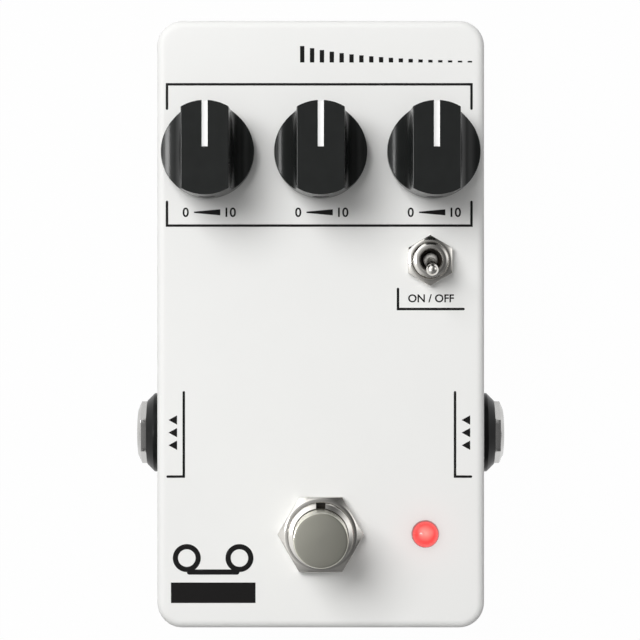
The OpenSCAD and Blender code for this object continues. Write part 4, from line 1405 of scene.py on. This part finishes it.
def bat_profile(switch):
    """Half of the lever's section from its tail to its tip, as (radius, height) about its pivot."""
    neck = switch.bat_neck
    tip = switch.bat_tip
    reach = math.degrees(math.acos(neck / switch.bat_ball))
    path = arc((0, -switch.bat_tail), neck, -90, 0, 8) + arc((0, 0), switch.bat_ball, -reach, reach, 16)
    taper = 3.2 * MM
    path += [(neck, taper - 1.0 * MM), (neck + 0.04 * MM, taper)]
    shoulder = switch.bat_length - tip
    for part in (k / 8 for k in range(1, 9)):
        path.append((neck + (tip - neck) * part, taper + (shoulder - taper) * part))
    return path + arc((0, shoulder), tip, 0, 90, 12)[1:]


def build_toggle(settings):
    """The toggle's nut, threaded bushing and lever."""
    switch = settings.switch
    low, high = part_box("toggle_nut")
    shape = hex_nut(
        high.x - low.x, high.z - low.z, switch.toggle_thread, switch.toggle_face, slope=0.4, lead=0.18 * MM,
    )
    place = at(TOGGLE, low.z) @ Matrix.Rotation(math.pi / 2, 4, "Z")
    nut = new_object("toggle_hex_nut", moved(shape, place))
    smooth(nut, 14, edge=NUT_EDGE)
    dress(nut, "toggle_nut")

    low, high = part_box("toggle_bushing")
    foot = low.z + switch.toggle_flange
    tube = threaded_tube(
        switch.toggle_thread, switch.toggle_pitch, foot, high.z, lead=0.22 * MM, flare=2.3,
        bore=switch.toggle_mouth, inside=toggle_bore(switch, foot),
    )
    plate = flange((high - low) / 2, corner=0.6 * MM, hole=TAIL_BORE, low=low.z, high=foot)
    bushing = new_object("toggle_thread", moved(joined([tube, plate]), at(TOGGLE, 0)))
    smooth(bushing, 28)
    dress(bushing, "toggle_bushing", look="toggle_nickel")

    lean = Matrix.Translation(BAT_PIVOT) @ Matrix.Rotation(switch.bat_lean, 4, "X")
    bat = new_object("toggle_bat", moved(turned(bat_profile(switch), 48), lean))
    smooth(bat, 60)
    dress(bat, "toggle_lever", look="bat_nickel")


def key_slot(top):
    """What is cut from the thread's end at +Y for the foot switch's key slot."""
    half_wide = 0.85 * MM
    half_deep = 0.9 * MM
    corner = 0.12 * MM
    reach = Vector((0, 5.7 * MM, 0))
    ends = (top - 4.0 * MM, top + 1.0 * MM)
    shape = skin([rounded_rectangle(half_wide, half_deep, corner, z, steps=3) for z in ends], caps=True)
    return moved(shape, at(STOMP + reach, 0))


def cap_profile(switch, radius, low, high):
    """Half of the section of the foot switch's cap and stem, as (radius, height)."""
    foot = FACE + switch.cap_foot
    chamfer = 0.3 * MM
    dome = [(radius * k / 8, high - switch.cap_crown * (k / 8) ** 2, 0) for k in range(7, -1, -1)]
    return rounded_path([
        (0, low, 0), (switch.stem, low, 0.2 * MM), (switch.stem, foot, 0), (radius - chamfer, foot, 0),
        (radius, foot + chamfer, 0), (radius, high - switch.cap_crown, switch.cap_edge), *dome,
    ], 7)


def build_foot_switch(settings):
    """The foot switch's nut, threaded bushing, cap and return spring."""
    switch = settings.switch
    low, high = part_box("footswitch_nut")
    flats = high.y - low.y
    face = flats / 2 - 0.25 * MM
    shape = hex_nut(flats, high.z - low.z, switch.stomp_thread, face, slope=0.66)
    nut = new_object("stomp_hex_nut", moved(shape, at(STOMP, low.z)))
    smooth(nut, 14, edge=NUT_EDGE)
    dress(nut, "footswitch_nut")

    low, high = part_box("footswitch_bushing")
    foot = low.z + switch.stomp_flange
    hole = switch.stem + 0.06 * MM
    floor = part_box("footswitch_spring")[0].z
    inside = [(switch.stomp_bore, floor), (hole, floor), (hole, foot)]
    tube = threaded_tube(
        switch.stomp_thread, switch.stomp_pitch, foot, high.z, lead=0.42 * MM, flare=1.85,
        bore=switch.stomp_bore, inside=inside, lip=0.06 * MM,
    )
    bushing = new_object("stomp_thread", moved(tube, at(STOMP, 0)))
    carve(bushing, key_slot(high.z))
    plate = flange((high - low) / 2, corner=0.8 * MM, hole=hole, low=low.z, high=foot)
    add_shape(bushing, moved(plate, at(STOMP, 0)))
    smooth(bushing, 28)
    dress(bushing, "footswitch_bushing", look="stomp_nickel")

    low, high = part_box("footswitch_button")
    profile = cap_profile(switch, (high.x - low.x) / 2, low.z, high.z)
    button = new_object("stomp_cap", moved(turned(profile, 96), at(STOMP, 0)))
    smooth(button, 40)
    dress(button, "footswitch_button", look="satin_nickel")

    low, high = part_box("footswitch_spring")
    tall = high.z - low.z
    wire = switch.coil_wire
    end = wire + 0.05 * MM
    coil = from_tree("stomp_coil", coil_tree(), {
        "Turns": switch.coil_turns, "Radius": (high.x - low.x) / 2 - wire, "Wire": wire,
        "Tall": tall - 2 * end, "Place": level(STOMP, low.z + end),
        "Finish": finish(SLOTS["footswitch_spring"]),
    })
    smooth(coil, 50)
    dress(coil, "footswitch_spring")
    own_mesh(coil)


def build_lamp(settings):
    """The lamp's domed lens."""
    lamp = settings.lamp
    low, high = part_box("led_lens")
    shoulder = low.z + lamp.flange_height
    path = [(0, low.z), (lamp.flange, low.z), (lamp.flange, shoulder), (lamp.radius, shoulder)]
    path += arc((0, high.z - lamp.radius), lamp.radius, 0, 90, 18)
    dome = new_object("lamp_dome", moved(turned(path, 64), at(LAMP, 0)))
    smooth(dome, 40)
    dome.visible_shadow = False
    dress(dome, "led_lens")


def outward(side, distance):
    """Turns Z outwards on one side of the case, at a distance from its middle."""
    spot = Matrix.Translation((side * distance, JACK.y, JACK.z))
    return spot @ Matrix.Rotation(side * math.pi / 2, 4, "Y")


def bezel_profile(jack):
    """Section of a jack's bevelled washer, as (radius, height)."""
    flat = jack.bezel_radius - (jack.bezel_height - jack.bezel_rim)
    hole = jack.thread + 0.1 * MM
    return rounded_path([
        (hole, 0, 0), (jack.bezel_radius, 0, 0.1 * MM), (jack.bezel_radius, jack.bezel_rim, 0.35 * MM),
        (flat, jack.bezel_height, 0.25 * MM), (hole, jack.bezel_height, 0),
    ], 4)


def jack_tube(jack, size):
    """A jack's bushing on z = 0, with broken edges at its outer end."""
    lead = 0.3 * MM
    lip = 0.25 * MM
    edge = 0.05 * MM
    path = rounded_path([
        (jack.bore, 0, 0), (jack.thread, 0, 0), (jack.thread, size - lead, 0),
        (jack.thread - lead, size, edge), (jack.bore + lip, size, edge), (jack.bore, size - lead, edge),
    ], 2)
    return turned(path, 72, loop=True)


def build_jacks(settings):
    """Bevelled washers, nuts and bushings of the two jacks."""
    jack = settings.jack
    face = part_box("jack_washers")[1].x
    shoulder = 0.6 * jack.nut_height
    bezels = []
    nuts = []
    for side in (-1, 1):
        bezel = turned(bezel_profile(jack), 96, loop=True)
        bezels.append(moved(bezel, outward(side, face - jack.bezel_height)))
        nut = hex_nut(
            jack.nut_flats, jack.nut_height, jack.thread, jack.nut_nose, slope=0, shoulder=shoulder,
        )
        turn = Matrix.Rotation(math.pi / 6 + side * jack.nut_turn, 4, "Z")
        nuts.append(moved(nut, outward(side, face) @ turn))
    piece = new_object("jack_bezels", joined(bezels))
    smooth(piece, 30)
    dress(piece, "jack_washers", look="black_washer")
    piece = new_object("jack_hex_nuts", joined(nuts))
    smooth(piece, 18, edge=NUT_EDGE)
    dress(piece, "jack_nuts", look="jack_nickel")

    set_back = 0.2 * MM
    for name, side in (("output", -1), ("input", 1)):
        start, end = sorted(abs(corner.x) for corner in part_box(name + "_jack_bushing"))
        shape = jack_tube(jack, end - set_back - start)
        piece = new_object("jack_thread_" + name, moved(shape, outward(side, start)))
        smooth(piece, 30)
        dress(piece, name + "_jack_bushing", look="jack_nickel")


def ribbon(points, width):
    """Outline of a line of one width through points, with round ends."""
    half = width / 2
    points = [Vector(point) for point in points]

    def cap(end, before):
        along = (end - before).normalized()
        start = math.degrees(math.atan2(along.y, along.x)) - 90
        return arc(end - along * half, half, start, start + 180, 8)

    def side(route):
        made = []
        for before, here, after in zip(route, route[1:], route[2:]):
            into = (here - before).normalized()
            away = (after - here).normalized()
            right = Vector((into.y, -into.x)) + Vector((away.y, -away.x))
            made.append(here + right * half / (0.5 * right.length_squared))
        return made

    there = side(points) + cap(points[-1], points[-2])
    return there + side(points[::-1]) + cap(points[0], points[1])


def letters(text, size, low, high, centre):
    """Plain characters as a closed shape, with their middle at a point."""
    curve = bpy.data.curves.new("letters", "FONT")
    curve.body = text
    curve.size = size
    curve.extrude = (high - low) / 2
    curve.offset = 0.02 * size
    curve.resolution_u = 6
    holder = linked("letters", curve)
    mesh = evaluated(holder)
    shape = bmesh.new()
    shape.from_mesh(mesh)
    bmesh.ops.remove_doubles(shape, verts=shape.verts, dist=TINY)
    bpy.data.objects.remove(holder)
    bpy.data.curves.remove(curve)
    bpy.data.meshes.remove(mesh)
    xs = [vert.co.x for vert in shape.verts]
    ys = [vert.co.y for vert in shape.verts]
    x = centre[0] - (min(xs) + max(xs)) / 2
    y = centre[1] - (min(ys) + max(ys)) / 2
    return moved(shape, Matrix.Translation((x, y, (low + high) / 2)))


def in_mm(points):
    """Points (x, y) given in millimetres."""
    return [(x * MM, y * MM) for x, y in points]


def bracket_marks(marks, low, high):
    """The line ornaments around the dials, under the toggle and beside the jacks."""
    routes = (
        ((-28.01, 39.05), (-28.01, 43.71), (27.47, 43.71), (27.47, 39.05)),
        ((-28.01, 22.51), (-28.01, 17.97), (27.47, 17.97), (27.47, 22.51)),
        ((14.08, 6.66), (14.08, 2.77), (26.24, 2.77)),
        ((-24.95, -12.17), (-24.95, -27.76), (-28.12, -27.76)),
        ((24.47, -12.17), (24.47, -27.76), (27.6, -27.76)),
    )
    return [prism(ribbon(in_mm(route), marks.line), low, high) for route in routes]


def dial_marks(marks, low, high):
    """A 0, a growing wedge and a 10 under each dial."""
    type_size = 1.38 * marks.digit
    reach = 4.1 * MM
    y = 20.39 * MM
    wedge = in_mm([(-2.6, -0.12), (2.2, -0.55), (2.2, 0.55), (-2.6, 0.12)])
    shapes = []
    for side in DIALS:
        x = middle(side + "_shaft").x
        shapes.append(letters("0", type_size, low, high, (x - reach, y)))
        shapes.append(letters("10", type_size, low, high, (x + reach, y)))
        shapes.append(moved(prism(wedge, low, high), Matrix.Translation((x, y, 0))))
    return shapes


def jack_marks(low, high):
    """Three arrowheads beside each jack, along the signal's way to the left."""
    arrow = in_mm([(-0.78, 0), (0.78, -0.85), (0.78, 0.85)])
    shapes = []
    for x in (-26.95 * MM, 26.45 * MM):
        for y in (-22.05 * MM, -19.75 * MM, -17.45 * MM):
            shapes.append(moved(prism(arrow, low, high), Matrix.Translation((x, y, 0))))
    return shapes


def reel_marks(marks, low, high):
    """Two reels with a tape between them, over a plain bar."""
    inner = marks.reel - marks.tape
    ring = [(inner, low), (marks.reel, low), (marks.reel, high), (inner, high)]
    reels = in_mm([(-24.4, -42.6), (-14.8, -42.6)])
    shapes = [moved(turned(ring, 48, loop=True), Matrix.Translation((x, y, 0))) for x, y in reels]
    lift = 0.002 * MM
    tape = ribbon([(x, y - marks.reel) for x, y in reels], marks.tape)
    shapes.append(prism(tape, low, high + lift))
    bar = in_mm([(-27.28, -50.79), (-11.88, -50.79), (-11.88, -47.06), (-27.28, -47.06)])
    shapes.append(prism(bar, low, high))
    return shapes


def fading_row(marks, low, high):
    """The row of fading bars over the dials."""
    left = -3.77 * MM
    foot = 47.69 * MM
    row = from_tree("bars", fading_row_tree(), {
        "Count": marks.bars, "Pitch": (marks.bar_row - marks.bar_width) / (marks.bars - 1),
        "Width": marks.bar_width, "Tall": marks.bar_height, "Fade": marks.fade, "Thickness": high - low,
        "Start": (left + marks.bar_width / 2, foot, (low + high) / 2), "Finish": finish("ink"),
    })
    shape = bmesh.new()
    shape.from_mesh(row.data)
    bpy.data.objects.remove(row)
    return shape


def build_print(settings):
    """The printed brackets, numbers and plain marks on the face."""
    marks = settings.print
    sunk = 0.02 * MM
    low = FACE - sunk
    high = FACE + marks.film
    shapes = bracket_marks(marks, low, high) + dial_marks(marks, low, high)
    over_toggle_line = (20.1 * MM, 4.72 * MM)
    shapes.append(letters("ON / OFF", marks.capital, low, high, over_toggle_line))
    shapes += jack_marks(low, high) + reel_marks(marks, low, high)
    piece = new_object("face_print", joined(shapes))
    add_shape(piece, fading_row(marks, low, high))
    smooth(piece, 30)
    coat(piece, "ink")
    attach(piece, "case")


def build_inside():
    """Finishes for the CAD nodes that stay as they are. Set screws are steel."""
    for node, piece in frame["nodes"].items():
        if piece.hide_render:
            continue
        for holder in piece.material_slots:
            holder.material = finish("steel" if node.endswith("_set_screw") else SLOTS[node])


def aim(azimuth, elevation):
    """The direction at an azimuth, counted from +X, and an elevation, in degrees."""
    around = math.radians(azimuth)
    above = math.radians(elevation)
    return Vector((math.cos(above) * math.cos(around), math.cos(above) * math.sin(around), math.sin(above)))


def add_camera(stage):
    """A camera that looks straight down on the face."""
    camera = bpy.data.cameras.new("camera")
    camera.sensor_fit = "HORIZONTAL"
    camera.sensor_width = 36.0
    camera.lens = camera.sensor_width * stage.camera_height / stage.view_width
    camera.clip_start = 0.01
    camera.clip_end = 50.0
    holder = linked("camera", camera)
    holder.location = (stage.view_x, stage.view_y, FACE + stage.camera_height)
    bpy.context.scene.camera = holder


def add_floor(stage):
    """A floor that looks white, but lights the pedal from below as grey paper does."""
    half = stage.floor / 2
    thick = 20 * MM
    square = [(side_x * half, side_y * half) for side_x, side_y in CORNERS]
    floor = new_object("floor", prism(square, -thick, 0.0))
    material = new_material("floor_white")
    made = NodeTree(material.node_tree)
    seen = (made.ray("Camera") + made.ray("Glossy") + made.ray("Transmission")).clamped()
    paper = made.node("ShaderNodeBsdfDiffuse", None, {"Color": (0.45, 0.45, 0.45)})
    white = made.node("ShaderNodeEmission", None, {"Color": (1, 1, 1), "Strength": 1.0})
    whiteness = 0.985
    both = made.node("ShaderNodeMixShader", None, {0: seen * whiteness, 1: paper, 2: white})
    made.node("ShaderNodeOutputMaterial", None, {"Surface": both})
    floor.data.materials.append(material)


def add_lamps(stage):
    """A large soft lamp that lights, and a tall one on the left that only reflections show."""
    for name, azimuth, elevation, wide, tall, power, soft in (
        ("key", 136, 59, 0.42, 0.42, stage.key_power, True),
        ("side", 175, 50, 0.15, 0.3, stage.side_power, False),
    ):
        light = bpy.data.lights.new(name, "AREA")
        light.shape = "RECTANGLE"
        light.size = wide
        light.size_y = tall
        light.energy = power
        lamp = linked(name, light)
        lamp.location = stage.lamp_distance * aim(azimuth, elevation)
        lamp.rotation_euler = (-lamp.location).to_track_quat("-Z", "Y").to_euler()
        lamp.visible_camera = False
        lamp.visible_diffuse = soft
        lamp.visible_glossy = not soft


def add_room(stage):
    """Light from all round: an even room, which reflections show as a dark one with pale cards."""
    world = bpy.data.worlds.new("studio")
    world.use_nodes = True
    bpy.context.scene.world = world
    made = NodeTree(world.node_tree)
    where = made.node("ShaderNodeTexCoord", output="Generated")

    def towards(direction):
        """How nearly a ray points in a direction."""
        kind = {"operation": "DOT_PRODUCT"}
        return made.node("ShaderNodeVectorMath", kind, {0: where, 1: direction}, output="Value")

    # The room is a trace darker on the left. Its mirror image is lighter on the upper left.
    room = 0.355 - 0.03 * towards((-1, 0, 0))
    darkest = 0.02
    mirrored = 0.04 + 0.65 * towards(aim(165, 0)) * towards(UP)
    mirrored = mirrored.math("MAXIMUM", mirrored, darkest)
    # Each card has an azimuth, an elevation, a tightness and a strength.
    for azimuth, elevation, tight, strength in (
        (0, 90, 40, 0.14), (132, 32, 7, 1.6), (205, 30, 5, 0.75), (18, 27, 16, 1.5), (300, 30, 6, 0.2),
    ):
        card = (tight * (towards(aim(azimuth, elevation)) - 1.0)).exponent()
        mirrored = mirrored + strength * card
    shown = room + made.ray("Glossy") * (mirrored - room)
    light = made.node("ShaderNodeBackground", None, {"Color": (1, 1, 1), "Strength": shown * stage.sky})
    plain = made.node("ShaderNodeBackground", None, {"Color": (1, 1, 1), "Strength": 1.0})
    both = made.node("ShaderNodeMixShader", None, {0: made.ray("Camera"), 1: light, 2: plain})
    made.node("ShaderNodeOutputWorld", None, {"Surface": both})


def build_stage(settings):
    """Camera straight above, a pale floor, two lamps and light from all round."""
    bpy.context.scene.view_settings.view_transform = "Standard"
    add_camera(settings.stage)
    add_floor(settings.stage)
    add_lamps(settings.stage)
    add_room(settings.stage)


class PEDAL_OT_case(bpy.types.Operator):
    """Builds the painted box"""

    bl_idname = "pedal.case"
    bl_label = "Case"

    def execute(self, context):
        build_case(context.scene.pedal)
        return {"FINISHED"}


class PEDAL_OT_base(bpy.types.Operator):
    """Builds the cover, its screws and its feet"""

    bl_idname = "pedal.base"
    bl_label = "Cover, screws and feet"

    def execute(self, context):
        build_base(context.scene.pedal)
        return {"FINISHED"}


class PEDAL_OT_knobs(bpy.types.Operator):
    """Builds the three knobs and their lines"""

    bl_idname = "pedal.knobs"
    bl_label = "Knobs"

    def execute(self, context):
        build_knobs(context.scene.pedal)
        return {"FINISHED"}


class PEDAL_OT_toggle(bpy.types.Operator):
    """Builds the toggle above the face"""

    bl_idname = "pedal.toggle"
    bl_label = "Toggle"

    def execute(self, context):
        build_toggle(context.scene.pedal)
        return {"FINISHED"}


class PEDAL_OT_foot_switch(bpy.types.Operator):
    """Builds the foot switch above the face"""

    bl_idname = "pedal.foot_switch"
    bl_label = "Foot switch"

    def execute(self, context):
        build_foot_switch(context.scene.pedal)
        return {"FINISHED"}


class PEDAL_OT_lamp(bpy.types.Operator):
    """Builds the lamp's lens"""

    bl_idname = "pedal.lamp"
    bl_label = "Lamp"

    def execute(self, context):
        build_lamp(context.scene.pedal)
        return {"FINISHED"}


class PEDAL_OT_jacks(bpy.types.Operator):
    """Builds the washers, nuts and bushings of the jacks"""

    bl_idname = "pedal.jacks"
    bl_label = "Jacks"

    def execute(self, context):
        build_jacks(context.scene.pedal)
        return {"FINISHED"}


class PEDAL_OT_print(bpy.types.Operator):
    """Prints the lines and marks on the face"""

    bl_idname = "pedal.print"
    bl_label = "Print"

    def execute(self, context):
        build_print(context.scene.pedal)
        return {"FINISHED"}


class PEDAL_OT_inside(bpy.types.Operator):
    """Gives the parts inside their finishes"""

    bl_idname = "pedal.inside"
    bl_label = "Inside"

    def execute(self, context):
        build_inside()
        return {"FINISHED"}


class PEDAL_OT_stage(bpy.types.Operator):
    """Sets up the camera, the floor and the light"""

    bl_idname = "pedal.stage"
    bl_label = "Stage"

    def execute(self, context):
        build_stage(context.scene.pedal)
        return {"FINISHED"}


OPERATORS = (
    PEDAL_OT_case, PEDAL_OT_base, PEDAL_OT_knobs, PEDAL_OT_toggle, PEDAL_OT_foot_switch,
    PEDAL_OT_lamp, PEDAL_OT_jacks, PEDAL_OT_print, PEDAL_OT_inside, PEDAL_OT_stage,
)


class PEDAL_PT_panel(bpy.types.Panel):
    """Lists the pedal's builders and their sizes"""

    bl_idname = "PEDAL_PT_panel"
    bl_label = "Echo pedal"
    bl_space_type = "VIEW_3D"
    bl_region_type = "UI"
    bl_category = "Pedal"

    def draw(self, context):
        for operator in OPERATORS:
            self.layout.operator(operator.bl_idname)
        for group in PedalSettings.__annotations__:
            settings = getattr(context.scene.pedal, group)
            box = self.layout.box()
            for item in type(settings).__annotations__:
                box.prop(settings, item)


CLASSES = (
    CaseSettings, KnobSettings, SwitchSettings, LampSettings, JackSettings, PrintSettings, StageSettings,
    PedalSettings, *OPERATORS, PEDAL_PT_panel,
)


def register():
    """Makes the settings, the builders and the panel known."""
    for kind in CLASSES:
        bpy.utils.register_class(kind)
    bpy.types.Scene.pedal = PointerProperty(type=PedalSettings)


def unregister():
    """Takes back what register made known."""
    del bpy.types.Scene.pedal
    for kind in reversed(CLASSES):
        bpy.utils.unregister_class(kind)


def main():
    """Builds the whole pedal."""
    register()
    for operator in OPERATORS:
        getattr(bpy.ops.pedal, operator.bl_idname.split(".")[1])()


if __name__ == "__main__":
    main()
